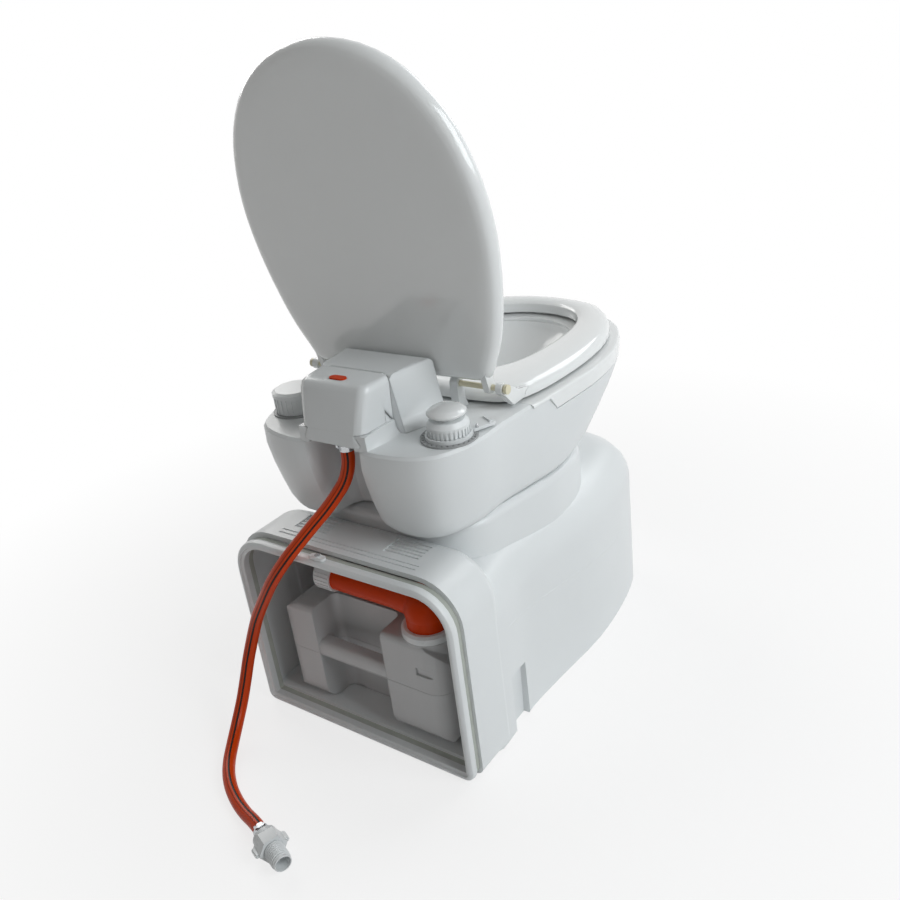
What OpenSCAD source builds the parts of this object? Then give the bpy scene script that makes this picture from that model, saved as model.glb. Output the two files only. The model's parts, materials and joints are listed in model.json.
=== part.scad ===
// Portable cassette toilet: a base that holds a slide-out waste tank, and an upper unit
// with its own flush water, hand pump, seat and lid. Millimetres, +Z up.
// The origin is on the floor, midway between the tank mouth and the front of the bowl,
// on the centre plane. The mouth for the tank faces +Y and the user sits facing -Y.

/* [Overall] */
// Depth from the lip of the tank mouth to the front of the bowl
depth = 640; // [632:1:650]

/* [Base] */
// Width of the base at its widest
base_w = 402; // [394:1:412]
// Height of the side shoulders of the base
shoulder_z = 264; // [256:1:268]
// Height of the raised collar round the tank mouth
portal_z = 303; // [298:1:308]
// Length of that collar from back to front
portal_len = 76; // [68:1:84]
// Height of the pedestal that carries the bowl
plinth_z = 318; // [314:1:324]
// Wall of the base
base_wall = 5; // [4:0.5:6]
// Height of the tank bay's floor
bay_floor_z = 20; // [19:0.5:24]

/* [Mouth frame] */
// Width of the frame round the tank mouth
frame_w = 384; // [378:1:386]
// Height of that frame
frame_h = 297; // [292:1:300]
// Depth of the rounded frame
frame_t = 14; // [12:1:18]
// Depth of the rubber gasket behind the frame
gasket_t = 8; // [6:1:10]
// Width of the frame's face
frame_face = 13; // [11:1:15]

/* [Waste tank] */
// Width of the waste tank
tank_w = 296; // [284:1:300]
// Height of the tank's body above its underside
tank_h = 168; // [160:1:170]
// Length of the tank
tank_len = 390; // [380:1:400]
// Wall of the tank
tank_wall = 4; // [3:0.5:5]
// How far the tank's back stands inside the mouth
tank_inset = 22; // [20:1:30]
// Height of the moulded handle bar's lower edge above the tank's underside
bar_z = 84; // [76:1:90]
// Height of the handle bar
bar_h = 26; // [22:1:30]
// Depth of the handle bar
bar_t = 26; // [22:1:30]
// Bore of the tank's inlet
inlet_r = 44; // [38:1:46]

/* [Pour spout] */
// Radius of the spout's upright leg
leg_r = 30; // [27:0.5:32]
// Radius of the spout's tube
spout_r = 20; // [17:0.5:22]
// Reach of the spout from its swivel axis to the end of its cap
spout_reach = 184; // [170:1:186]
// Height of the spout's tube above the tank's top
spout_rise = 42; // [40:1:46]
// Radius of the screw cap on the spout
spout_cap_r = 23.5; // [22:0.5:24]

/* [Upper unit] */
// Height of the deck that carries the pump
deck_z = 450; // [446:1:456]
// Half width of the deck at its back lobes
lobe_w = 172; // [168:1:174]
// Wall of the upper unit
shell_wall = 4.5; // [3.5:0.5:6]
// Half width of the notch between the back lobes
notch_w = 46; // [42:1:50]
// Thickness of the bowl's wall
bowl_wall = 4; // [3:0.5:5]
// Height of the glossy band round the bowl
band_h = 26; // [22:1:30]
// Radius of the bowl's outlet pipe
outlet_r = 40; // [36:1:44]

/* [Seat and lid] */
// Thickness of the seat
seat_t = 22; // [20:1:25]
// Half width of the seat at its widest
seat_w = 181; // [176:1:186]
// Half width of the opening in the seat
seat_open_w = 112; // [106:1:116]
// Length of the lid from the hinge line
lid_len = 442; // [436:1:448]
// Half width of the lid
lid_w = 198; // [192:1:202]
// Thickness of the lid at its rim
lid_t = 21; // [18:1:23]
// Angle between the closed and the open lid, in degrees
lid_swing = 100; // [95:1:100]
// Radius of the hinge rods
rod_r = 4; // [3:0.25:5]

/* [Pump] */
// Radius of the ribbed pump collar
collar_r = 28; // [27:0.5:30]
// Height of the pump collar above the deck
collar_h = 26; // [22:1:30]
// Radius of the pump knob
knob_r = 25.6; // [22:0.1:27]
// Bore of the pump barrel
barrel_r = 16; // [14:0.5:16.5]
// Depth of the pump barrel below the deck
barrel_len = 72; // [68:1:74]
// Reach of the valve lever's tab from the pump's axis
tab_reach = 63; // [58:1:66]

/* [Filler] */
// Radius of the filler neck
neck_r = 26; // [24:0.5:28]
// Radius of the ribbed filler cap
filler_cap_r = 32; // [30:0.5:34]
// Height of the filler cap
filler_cap_h = 34; // [28:1:36]

/* [Service box] */
// Half width of the removable cover
cover_w = 57; // [54:1:60]
// Height of the service box above the deck
box_h = 80; // [74:1:84]
// Wall of the cover
cover_wall = 2.5; // [2:0.5:3.5]

/* [Hose] */
// Outer radius of the water hose
hose_r = 9; // [8:0.25:9.5]
// Bore radius of the water hose
hose_bore = 6.25; // [5:0.25:6.5]
// Radius of the connector's male thread
thread_r = 13.2; // [12:0.1:14]

/* [Clearances] */
// Gap round parts that slide or turn, on the radius
run_gap = 0.08; // [0.05:0.01:0.1]
// Gap between parts that only lie close
gap = 0.3; // [0.2:0.05:0.5]

/* [Hidden] */
$fn = 64;

// Driving places
mouth_y = depth / 2;
front_y = -depth / 2;
hw = base_w / 2;
body_y = mouth_y - frame_t - gasket_t;
pump_x = 131;
pump_y = mouth_y - 125;
hinge_y = mouth_y - 208;
seat_base_z = deck_z + 3;
seat_top_z = seat_base_z + seat_t;
rim_z = seat_top_z + 4;
hinge_z = rim_z + 7;
lid_drop = hinge_z - rim_z;
outlet_y = mouth_y - 330;
notch_y = mouth_y - 115;
band_z = deck_z - band_h;
band_y = mouth_y - 300;
tank_z = bay_floor_z + gap;
tank_top = tank_z + tank_h;
tank_back = mouth_y - tank_inset;
tank_front = tank_back - tank_len;
spout_x = -105;
spout_y = tank_back - leg_r - 9;
spout_z = tank_top + spout_rise;
inlet_top = tank_top + 16;
blade_z = inlet_top - 8;
blade_travel = 98;
cover_y = mouth_y - 112;
box_z = deck_z + box_h;
exit = [-10, mouth_y - 64];

latch_x = 24;
latch_y = mouth_y - frame_t / 2;
latch_t = 4;
latch_pin_r = 2;
latch_pin_depth = 7;
tank_slide = 190;
pipe_z = deck_z - 26;
pipe_r = 6;
pipe_bore = 4;

// Ways of making outlines

// A closed outline from its half on the -X side, listed from back to front
function both_sides(half) = concat(
    [for (p = half) [-p[0], p[1]]],
    [for (i = [len(half) - 2 : -1 : 1]) half[i]]
);
function between(a, b, t) = a + (b - a) * t;
function curve_point(a, b, c, d, t) = 0.5 * (2 * b + (c - a) * t + (2 * a - 5 * b + 4 * c - d) * t * t
    + (3 * b - a - 3 * c + d) * t * t * t);
// A closed curve through the points, n steps from one to the next
function smooth(p, n) = let (k = len(p)) [
    for (i = [0 : k - 1], j = [0 : n - 1])
        curve_point(p[(i + k - 1) % k], p[i], p[(i + 1) % k], p[(i + 2) % k], j / n)
];
// The outline moved inward by d along its own normals
function inset(p, d) = let (k = len(p)) [
    for (i = [0 : k - 1]) let (t = p[(i + 1) % k] - p[(i + k - 1) % k]) p[i] + d * [-t[1], t[0]] / norm(t)
];
function highest(p, axis) = max([for (q = p) q[axis]]);
function lowest(p, axis) = min([for (q = p) q[axis]]);
// The outline drawn in by d on every side, by scale, which never crosses itself
function shrink(p, d) = let (
    x = highest(p, 0),
    y0 = lowest(p, 1),
    y1 = highest(p, 1),
    c = (y0 + y1) / 2,
    h = (y1 - y0) / 2
) [for (q = p) [q[0] * (x - d) / x, c + (q[1] - c) * (h - d) / h]];
// The same, but the lowest line stays where it is
function shrink_up(p, d) = let (x = highest(p, 0), y0 = lowest(p, 1), h = highest(p, 1) - y0)
    [for (q = p) [q[0] * (x - d) / x, y0 + (q[1] - y0) * (h - d) / h]];
function blend(p, q, t) = [for (i = [0 : len(p) - 1]) between(p[i], q[i], t)];
// Points on a quarter circle, for the corners of profiles
function arc(c, r, from, to, n = 8) = [for (i = [0 : n]) let (a = between(from, to, i / n)) c + r * [cos(a), sin(a)]];
// A box outline with its own radius at the top and at the bottom corners
function round_box(w, z0, z1, top, low) = concat(
    arc([w - low, z0 + low], low, -90, 0),
    arc([w - top, z1 - top], top, 0, 90),
    arc([-w + top, z1 - top], top, 90, 180),
    arc([-w + low, z0 + low], low, 180, 270)
);

// The faces that close a loft of n points a ring. Where its outline has a notch between two lobes, lobe holds
// the numbers of the first and last point of the lobe on the -X side, and the middle and each lobe are closed apart
function caps(n, lobe) = len(lobe) == 0 ? [[for (i = [0 : n - 1]) i]] : let (a = lobe[0], b = lobe[1]) [
    [for (i = [n / 2 : n + n / 2 - 1]) let (k = i % n) if (k <= a || k >= n - a || (k >= b && k <= n - b)) k],
    [for (i = [a - 1 : b - 1]) i < a ? b : i],
    [for (i = [n - b : n - a]) i]
];
// A closed solid through outlines of equal length: each ring is [points, height]
module loft(rings, lobe = []) {
    n = len(rings[0][0]);
    m = len(rings);
    polyhedron(
        [for (r = rings, p = r[0]) [p[0], p[1], r[1]]],
        concat(
            caps(n, lobe),
            [for (c = caps(n, lobe)) [for (i = [len(c) : -1 : 1]) (m - 1) * n + c[i % len(c)]]],
            [for (j = [0 : m - 2], i = [0 : n - 1]) [j * n + i, (j + 1) * n + i, (j + 1) * n + (i + 1) % n]],
            [for (j = [0 : m - 2], i = [0 : n - 1]) [j * n + i, (j + 1) * n + (i + 1) % n, j * n + (i + 1) % n]]
        )
    );
}

// A closed hoop: rings that start under the hoop, climb its outside and come back down its inside
module hoop(rings) {
    n = len(rings[0][0]);
    m = len(rings);
    polyhedron(
        [for (r = rings, p = r[0]) [p[0], p[1], r[1]]],
        concat(
            [for (j = [0 : m - 1], i = [0 : n - 1])
                [j * n + i, ((j + 1) % m) * n + i, ((j + 1) % m) * n + (i + 1) % n]],
            [for (j = [0 : m - 1], i = [0 : n - 1])
                [j * n + i, ((j + 1) % m) * n + (i + 1) % n, j * n + (i + 1) % n]]
        )
    );
}

// Stands a shape made in X and Z up, so that its height runs toward -Y
module along_y() rotate([90, 0, 0]) children();

// A round tube along the points of a route, with flat ends square to its first and last runs
function unit(v) = v / norm(v);
function heading(p, i) = unit(p[min(i + 1, len(p) - 1)] - p[max(i - 1, 0)]);
function carried(u, t) = unit(u - (u * t) * t);
function side_axes(p, u, i = 0) = i >= len(p) ? [] : let (a = carried(u, heading(p, i)))
    concat([a], side_axes(p, a, i + 1));
module tube(p, r, bore, sides, start = [1, 0, 0]) {
    n = len(p);
    u = side_axes(p, start);
    ring = [for (i = [0 : n - 1]) let (v = cross(heading(p, i), u[i])) [u[i], v]];
    function at(i, k, s) = p[i] + s * (cos(360 * k / sides) * ring[i][0] + sin(360 * k / sides) * ring[i][1]);
    outer = [for (i = [0 : n - 1], k = [0 : sides - 1]) at(i, k, r)];
    inner = [for (i = [0 : n - 1], k = [0 : sides - 1]) at(i, k, bore)];
    o = n * sides;
    last = (n - 1) * sides;
    polyhedron(
        concat(outer, inner),
        concat(
            [for (i = [0 : n - 2], k = [0 : sides - 1])
                [i * sides + k, (i + 1) * sides + (k + 1) % sides, i * sides + (k + 1) % sides]],
            [for (i = [0 : n - 2], k = [0 : sides - 1])
                [i * sides + k, (i + 1) * sides + k, (i + 1) * sides + (k + 1) % sides]],
            [for (i = [0 : n - 2], k = [0 : sides - 1])
                [o + i * sides + k, o + i * sides + (k + 1) % sides, o + (i + 1) * sides + (k + 1) % sides]],
            [for (i = [0 : n - 2], k = [0 : sides - 1])
                [o + i * sides + k, o + (i + 1) * sides + (k + 1) % sides, o + (i + 1) * sides + k]],
            [for (k = [0 : sides - 1]) [k, (k + 1) % sides, o + (k + 1) % sides]],
            [for (k = [0 : sides - 1]) [k, o + (k + 1) % sides, o + k]],
            [for (k = [0 : sides - 1]) [last + k, o + last + (k + 1) % sides, last + (k + 1) % sides]],
            [for (k = [0 : sides - 1]) [last + k, o + last + k, o + last + (k + 1) % sides]]
        )
    );
}

// Outlines of the base, seen from above, and coarser ones for its hollows
foot_points = both_sides([
    [0, mouth_y - 60], [0.75 * hw, mouth_y - 60], [0.94 * hw, mouth_y - 66], [0.955 * hw, mouth_y - 105],
    [0.93 * hw, mouth_y - 170], [0.955 * hw, mouth_y - 250], [hw, mouth_y - 357], [0.97 * hw, mouth_y - 450],
    [0.9 * hw, front_y + 118], [0.81 * hw, front_y + 83], [0.6 * hw, front_y + 54], [0.3 * hw, front_y + 40],
    [0, front_y + 36]
]);
pedestal_points = both_sides([
    [0, mouth_y - 106], [0.3 * hw, mouth_y - 107], [0.57 * hw, mouth_y - 120], [0.725 * hw, mouth_y - 150],
    [0.785 * hw, mouth_y - 200], [0.85 * hw, mouth_y - 260], [0.88 * hw, mouth_y - 310],
    [0.855 * hw, mouth_y - 372], [0.745 * hw, mouth_y - 418], [0.55 * hw, mouth_y - 447],
    [0.3 * hw, mouth_y - 462], [0, mouth_y - 466]
]);
foot = smooth(foot_points, 3);
foot_inside = smooth(foot_points, 2);
pedestal_line = smooth(pedestal_points, 3);
pedestal_inside = smooth(pedestal_points, 2);
collar_w = hw - 7;
portal = round_box(collar_w, 0, portal_z, 62, 14);
grip_w = 42;

// The hollow inside takes fewer steps round the shoulder than the outside
function shoulder_steps(d) = d == 0
    ? [[0, 59], [3, 42], [9, 27], [19, 15], [34, 6], [52, 0]]
    : [[0, 59], [6, 34], [19, 15], [52, 0]];
module base_body(d) {
    line = d > 0 ? foot_inside : foot;
    loft(concat(
        [[shrink(line, 2 + d), d]],
        d == 0 ? [[line, 3]] : [],
        [for (s = shoulder_steps(d)) [shrink(line, s[0] + d), shoulder_z - s[1] - d]]
    ));
}
module base_plinth(d) {
    line = d > 0 ? pedestal_inside : pedestal_line;
    loft([
        [shrink(line, d), shoulder_z - 20 - d],
        [shrink(line, d), plinth_z - 12 - d],
        [shrink(line, 4 + d), plinth_z - 4 - d],
        [shrink(line, 10 + d), plinth_z - d]
    ]);
}
module base_portal(d, back) {
    front = mouth_y - portal_len - 42;
    along_y() loft([
        [shrink_up(portal, d), -back],
        [shrink_up(portal, d), -front - 30 - d],
        [shrink_up(portal, 2 + d), -front - 22 - d],
        [shrink_up(portal, 8 + d), -front - 13 - d],
        [shrink_up(portal, 20 + d), -front - 5 - d],
        [shrink_up(portal, 38 + d), -front + 1 - d]
    ]);
}
screw_places = [[108, 66], [-108, 66], [92, -64], [-92, -64]];

// The hollow inside the body, above the bay floor and clear of the grips
module body_hollow() difference() {
    intersection() {
        base_body(base_wall);
        translate([-base_w, front_y, bay_floor_z]) cube([2 * base_w, depth, plinth_z]);
    }
    for (s = [-1, 1]) grip_recess(s, base_wall);
}
module floor_space() translate([0, 0, -1]) linear_extrude(bay_floor_z + 1) polygon(shrink(foot_inside, base_wall + 2));
// The low end of the body, which the collar takes with it
portal_front = mouth_y - portal_len - 12.5;
module behind_collar(h) translate([-base_w, portal_front, -1]) cube([2 * base_w, portal_len, h]);

module pedestal_foot() translate([0, 0, shoulder_z - 20]) linear_extrude(plinth_z) polygon(pedestal_line);

// Base: body with its rounded shoulder
module base_housing() color("gainsboro") difference() {
    base_body(0);
    pedestal_foot();
    difference() {
        base_portal(0, body_y);
        for (s = [-1, 1]) grip_recess(s, base_wall);
    }
    behind_collar(2 * plinth_z);
    body_hollow();
    floor_space();
    // Upright grips low on both sides
    for (s = [-1, 1]) grip_recess(s, 0);
}
// Floor of the tank bay, with hollows between crossing ribs under it
module base_floor() color("gainsboro") difference() {
    linear_extrude(bay_floor_z) polygon(shrink(foot_inside, base_wall + 2));
    intersection() {
        translate([0, 0, -1]) linear_extrude(bay_floor_z - base_wall + 1) polygon(shrink(foot_inside, 12));
        for (x = [-2 : 2], y = [-3 : 3]) translate([x * 66 - 30, y * 74 - 32, -2]) cube([60, 64, bay_floor_z]);
    }
    for (s = [-1, 1]) grip_recess(s, 0);
}
// Pedestal that carries the bowl
module pedestal() color("gainsboro") difference() {
    base_plinth(0);
    base_plinth(base_wall);
    // Way through from the bowl to the tank
    translate([0, outlet_y, plinth_z - base_wall - 10]) cylinder(r = outlet_r + 7, h = base_wall + 20);
    for (p = screw_places) translate([p[0], p[1], plinth_z - base_wall - 10]) cylinder(r = 3.2, h = base_wall + 20);
}
// Raised collar round the tank mouth
module mouth_collar() color("gainsboro") difference() {
    union() {
        base_portal(0, body_y);
        intersection() {
            translate([0, 0, 3]) linear_extrude(56) polygon(foot);
            behind_collar(60);
        }
    }
    intersection() {
        base_portal(base_wall + 2, body_y + 1);
        translate([-base_w, 0, bay_floor_z]) cube([2 * base_w, depth, plinth_z]);
    }
    pedestal_foot();
    body_hollow();
    for (s = [-1, 1]) grip_recess(s, base_wall);
    floor_space();
    // Striped pockets in the collar's top
    for (s = [-1, 1]) translate([s * 80, mouth_y - 70, portal_z - 2.5]) pocket(58, 34);
    // Long grooves along the back edge of the collar's top
    for (i = [0, 1]) translate([-120, mouth_y - 34 - 8 * i, portal_z - 1.2]) cube([240, 3, 2]);
}
// Cut for a grip: its back leans out to nothing at the top
module grip_recess(side, d) translate([0, mouth_y - 115 + d, 0]) along_y() linear_extrude(grip_w + 2 * d)
    polygon([
        [side * (hw + 9), -1], [side * (hw - 24 - d), -1], [side * (hw - 22 - d), 84], [side * (hw + 9), 116 + d]
    ]);
// A shallow pocket with upright ribs left standing in it
module pocket(w, l) {
    difference() {
        translate([-w / 2, -l / 2, 0]) cube([w, l, 4]);
        for (y = [-l / 2 + 6 : 7 : l / 2 - 4]) translate([-w / 2, y, -1]) cube([w, 2, 2.6]);
    }
}

// Frame: a rounded bead round the mouth, over a dark rubber gasket
frame_line = round_box(frame_w / 2, 1, frame_h, 58, 15);
module mouth_frame() color("white") difference() {
    along_y() hoop([
        [inset(frame_line, 6.5), -mouth_y],
        [inset(frame_line, 4), -mouth_y + 0.6],
        [inset(frame_line, 1.2), -mouth_y + 3],
        [inset(frame_line, 0), -body_y - gasket_t - frame_t * 0.45],
        [inset(frame_line, 0.4), -body_y - gasket_t - 3],
        [inset(frame_line, 2), -body_y - gasket_t],
        [inset(frame_line, frame_face), -body_y - gasket_t],
        [inset(frame_line, frame_face), -mouth_y + 4],
        [inset(frame_line, frame_face - 4), -mouth_y + 3],
        [inset(frame_line, frame_face - 5), -mouth_y]
    ]);
    translate([latch_x, latch_y, frame_h - latch_pin_depth]) cylinder(r = latch_pin_r, h = 20);
}
module mouth_gasket() color("darkgray") along_y() translate([0, 0, -body_y - gasket_t]) linear_extrude(gasket_t)
    difference() {
        polygon(inset(frame_line, 3));
        polygon(inset(frame_line, frame_face));
    }

// Turn catch on top of the frame, and its pin
module tank_latch() color("white") translate([latch_x, latch_y, frame_h + gap]) difference() {
    union() {
        for (s = [-1, 1]) translate([s * 8, 0, 0]) cylinder(r = 5, h = latch_t);
        translate([-8, -5, 0]) cube([16, 10, latch_t]);
        cylinder(r = 5.6, h = latch_t + 0.8);
    }
    translate([0, 0, -1]) cylinder(r = latch_pin_r + run_gap, h = latch_t + 4);
}
module latch_pin() color("silver") translate([latch_x, latch_y, frame_h - latch_pin_depth]) {
    cylinder(r = latch_pin_r, h = latch_pin_depth + gap + latch_t + 1.4);
    translate([0, 0, latch_pin_depth + gap + latch_t + 0.8 + gap]) cylinder(r = latch_pin_r + 1.6, h = 1.4);
}

// Pipe that leads from the bowl down to the tank, and its rubber seal
module drop_pipe() color("gray") translate([0, outlet_y, 0]) difference() {
    union() {
        translate([0, 0, inlet_top + 5]) cylinder(r = outlet_r + 5, h = plinth_z - base_wall - inlet_top - 5);
        translate([0, 0, plinth_z - base_wall - 5]) cylinder(r = outlet_r + 18, h = 5);
    }
    cylinder(r = outlet_r + gap, h = plinth_z);
}
module outlet_seal() color("black") translate([0, outlet_y, inlet_top + gap]) difference() {
    union() {
        cylinder(r1 = outlet_r + 9, r2 = outlet_r + 12, h = 2.5);
        translate([0, 0, 2.5]) cylinder(r = outlet_r + 12, h = 2.5 - gap);
        cylinder(r = outlet_r + 5, h = 5 - gap);
    }
    translate([0, 0, -1]) cylinder(r = outlet_r, h = 8);
}

// Screws and nuts that hold the upper unit down on the pedestal
module hold_down_screws() color("silver") for (p = screw_places) translate([p[0], p[1], plinth_z]) difference() {
    union() {
        translate([0, 0, -base_wall - 8]) cylinder(r = 3, h = base_wall + 8 + shell_wall);
        translate([0, 0, shell_wall]) cylinder(r1 = 6, r2 = 4.5, h = 3.2);
    }
    translate([0, 0, shell_wall + 1.4]) cylinder(r = 2, h = 3, $fn = 6);
}
module hold_down_nuts() color("silver") for (p = screw_places)
    translate([p[0], p[1], plinth_z - base_wall - 5]) difference() {
        cylinder(r = 6.2, h = 5, $fn = 6);
        translate([0, 0, -1]) cylinder(r = 3 + gap, h = 8);
    }

// Waste tank: blown body with two columns at its back and a handle bar moulded between them
tank_front_line = round_box(tank_w / 2, tank_z, tank_top, 46, 22);
tank_side_line = concat(
    arc([tank_back - 30, tank_z + 30], 30, -90, 0),
    arc([tank_back - 9, tank_top - 9], 9, 0, 90),
    arc([tank_front + 16, tank_top - 16], 16, 90, 180),
    arc([tank_front + 22, tank_z + 22], 22, 180, 270)
);
hold_w = 62.5;
hold_x = 15.5;
hold_t = 50;
module tank_form(d) intersection() {
    along_y() translate([0, 0, -mouth_y]) linear_extrude(depth) polygon(inset(tank_front_line, d));
    rotate([90, 0, 90]) translate([0, 0, -tank_w / 2]) linear_extrude(tank_w) polygon(inset(tank_side_line, d));
    linear_extrude(tank_top + 10) polygon(inset(round_plan(tank_w / 2, tank_front, tank_back, 30), d));
}
function round_plan(w, y0, y1, r) = round_box(w, y0, y1, r, r);
// The space between the columns, where a hand goes in
module hand_space(d) translate([hold_x, 0, tank_z - 5]) linear_extrude(tank_h + 10)
    polygon(round_plan(hold_w + d, tank_back - hold_t - d, tank_back + 40, 12));
module waste_tank() color("lightgray") difference() {
    union() {
        difference() {
            union() {
                tank_form(0);
                translate([spout_x, spout_y, tank_z + 50]) cylinder(r = leg_r + 8, h = tank_h - 50);
            }
            hand_space(0);
        }
        rotate([90, 0, 90]) translate([0, 0, hold_x - hold_w - 3]) linear_extrude(2 * hold_w + 6)
            polygon(concat(
                arc([tank_back - 1 - 8, tank_z + bar_z + 8], 8, -90, 0),
                arc([tank_back - 1 - 10, tank_z + bar_z + bar_h - 10], 10, 0, 90),
                arc([tank_back - bar_t + 7, tank_z + bar_z + bar_h - 7], 7, 90, 180),
                arc([tank_back - bar_t + 7, tank_z + bar_z + 7], 7, 180, 270)
            ));
    }
    difference() {
        union() {
            tank_form(tank_wall);
            translate([spout_x, spout_y, tank_z + 50 + tank_wall])
                cylinder(r = leg_r + 8 - tank_wall, h = tank_h - 50 - 2 * tank_wall);
        }
        hand_space(tank_wall);
    }
    // Openings for the inlet and for the spout
    translate([0, outlet_y, tank_top - 20]) cylinder(r = inlet_r, h = 30);
    translate([spout_x, spout_y, tank_top - 20]) cylinder(r = leg_r - 6, h = 30);
    // Step and slot on the column under the spout
    translate([-tank_w / 2 - 1, tank_back - 2.5, tank_z + 118]) cube([46, 6, 12]);
    // Feet stand clear of a shallow channel under the tank
    for (s = [-1, 1]) translate([s * 70 - 20, tank_front + 40, tank_z - 1]) cube([40, tank_len - 90, 3]);
}
module inlet_collar() color("gainsboro") difference() {
    union() {
        translate([0, outlet_y, tank_top]) cylinder(r = inlet_r + 16, h = inlet_top - tank_top);
        translate([-58, outlet_y - 60, tank_top]) cube([116, 120 + blade_travel, inlet_top - tank_top - 2]);
    }
    translate([0, outlet_y, tank_top - 1]) cylinder(r = inlet_r, h = inlet_top - tank_top + 2);
    translate([-52 - gap, outlet_y - 53, blade_z - gap]) cube([104 + 2 * gap, 110 + blade_travel, 3 + 2 * gap]);
}
module valve_blade() color("darkgray") translate([-52, outlet_y - 52, blade_z]) difference() {
    cube([104, 106, 3]);
    for (x = [20 : 16 : 84]) translate([x, 98, -1]) cube([8, 5, 5]);
}

// Pour spout: upright leg, round elbow and a straight tube that lies along the tank
module spout_collar() color("white") translate([spout_x, spout_y, tank_top]) difference() {
    union() {
        cylinder(r = leg_r + 8, h = 9);
        translate([0, 0, 9]) cylinder(r1 = leg_r + 8, r2 = leg_r + 4.5, h = 3);
    }
    translate([0, 0, -1]) cylinder(r = leg_r + run_gap, h = 20);
}
module pour_spout() color("orangered") translate([spout_x, spout_y, 0]) difference() {
    union() {
        translate([0, 0, tank_top + gap]) cylinder(r = leg_r, h = spout_rise - gap);
        translate([0, 0, spout_z - 6]) sphere(r = leg_r + 1.5);
        translate([0, 0, spout_z]) rotate([0, 90, 0]) cylinder(r1 = leg_r - 5, r2 = spout_r, h = 52);
        translate([0, 0, spout_z]) rotate([0, 90, 0]) cylinder(r = spout_r, h = spout_reach - 12);
    }
    translate([0, 0, tank_top - 1]) cylinder(r = leg_r - 4, h = spout_rise - 8);
    translate([0, 0, spout_z - 6]) sphere(r = leg_r - 4);
    translate([0, 0, spout_z]) rotate([0, 90, 0]) cylinder(r = spout_r - 3, h = spout_reach);
}
module spout_cap() color("white") translate([spout_x + spout_reach, spout_y, spout_z]) rotate([0, -90, 0]) difference() {
    union() {
        cylinder(r1 = spout_cap_r - 2, r2 = spout_cap_r, h = 2);
        translate([0, 0, 2]) cylinder(r = spout_cap_r - 1, h = 28);
        for (a = [0 : 15 : 345]) rotate([0, 0, a]) translate([spout_cap_r - 1.6, -1, 2]) cube([1.5, 2, 26]);
    }
    translate([0, 0, 4]) cylinder(r = spout_r + run_gap, h = 40);
}
module spout_cap_seal() color("black") translate([spout_x + spout_reach - 4, spout_y, spout_z])
    rotate([0, -90, 0]) difference() {
        translate([0, 0, gap]) cylinder(r = spout_r - 1, h = 8 - 2 * gap);
        translate([0, 0, -1]) cylinder(r = spout_r - 5, h = 12);
    }

// Upper unit: outlines of its foot and of its deck, seen from above
foot_line = smooth(both_sides([
    [0, notch_y - 8], [0.8 * notch_w, notch_y - 8], [notch_w + 4, notch_y + 22], [1.3 * notch_w, mouth_y - 79],
    [0.58 * lobe_w, mouth_y - 74], [0.77 * lobe_w, mouth_y - 94], [0.87 * lobe_w, mouth_y - 140],
    [0.89 * lobe_w, mouth_y - 200], [0.94 * lobe_w, mouth_y - 250], [lobe_w, mouth_y - 310],
    [0.97 * lobe_w, mouth_y - 372], [0.83 * lobe_w, mouth_y - 415], [0.55 * lobe_w, mouth_y - 442],
    [0, mouth_y - 452]
]), 3);
deck_line = smooth(both_sides([
    [0, notch_y], [0.8 * notch_w, notch_y], [notch_w - 1, notch_y + 26], [1.3 * notch_w, mouth_y - 50],
    [0.58 * lobe_w, mouth_y - 48], [0.86 * lobe_w, mouth_y - 70], [lobe_w, mouth_y - 125],
    [1.02 * lobe_w, mouth_y - 190], [1.065 * lobe_w, mouth_y - 262], [1.11 * lobe_w, mouth_y - 340],
    [1.13 * lobe_w, mouth_y - 410], [1.04 * lobe_w, mouth_y - 505], [0.71 * lobe_w, front_y + 42],
    [0, front_y + 2.5]
]), 3);
// The first and last point of the lobe on the -X side, on either line
back_lobe = [3, 18];
// The sides bulge: how far from the foot's line to the deck's, and how far up
sides_at = [[0.33, 0.167], [0.6, 0.37], [0.86, 0.6], [1, 0.78]];
sides_inside = [[0.54, 0.33], [0.9, 0.66], [1, 0.84]];
function upper_ring(t, in, z) = [inset(blend(foot_line, deck_line, t), in), z];
module upper_form(d) {
    loft(concat(
        [upper_ring(0, 9 + d / 3, plinth_z + d)],
        d == 0 ? [upper_ring(0.03, 2.5, plinth_z + 4)] : [],
        [upper_ring(0.12, d, plinth_z + 11 + d)],
        [for (s = d == 0 ? sides_at : sides_inside) upper_ring(s[0], d, between(plinth_z, deck_z, s[1]))],
        d == 0 ? [upper_ring(1, 0.8, deck_z - 4)] : [],
        [upper_ring(1, 4 + d, deck_z - 2 * d)]
    ), back_lobe);
}
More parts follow.
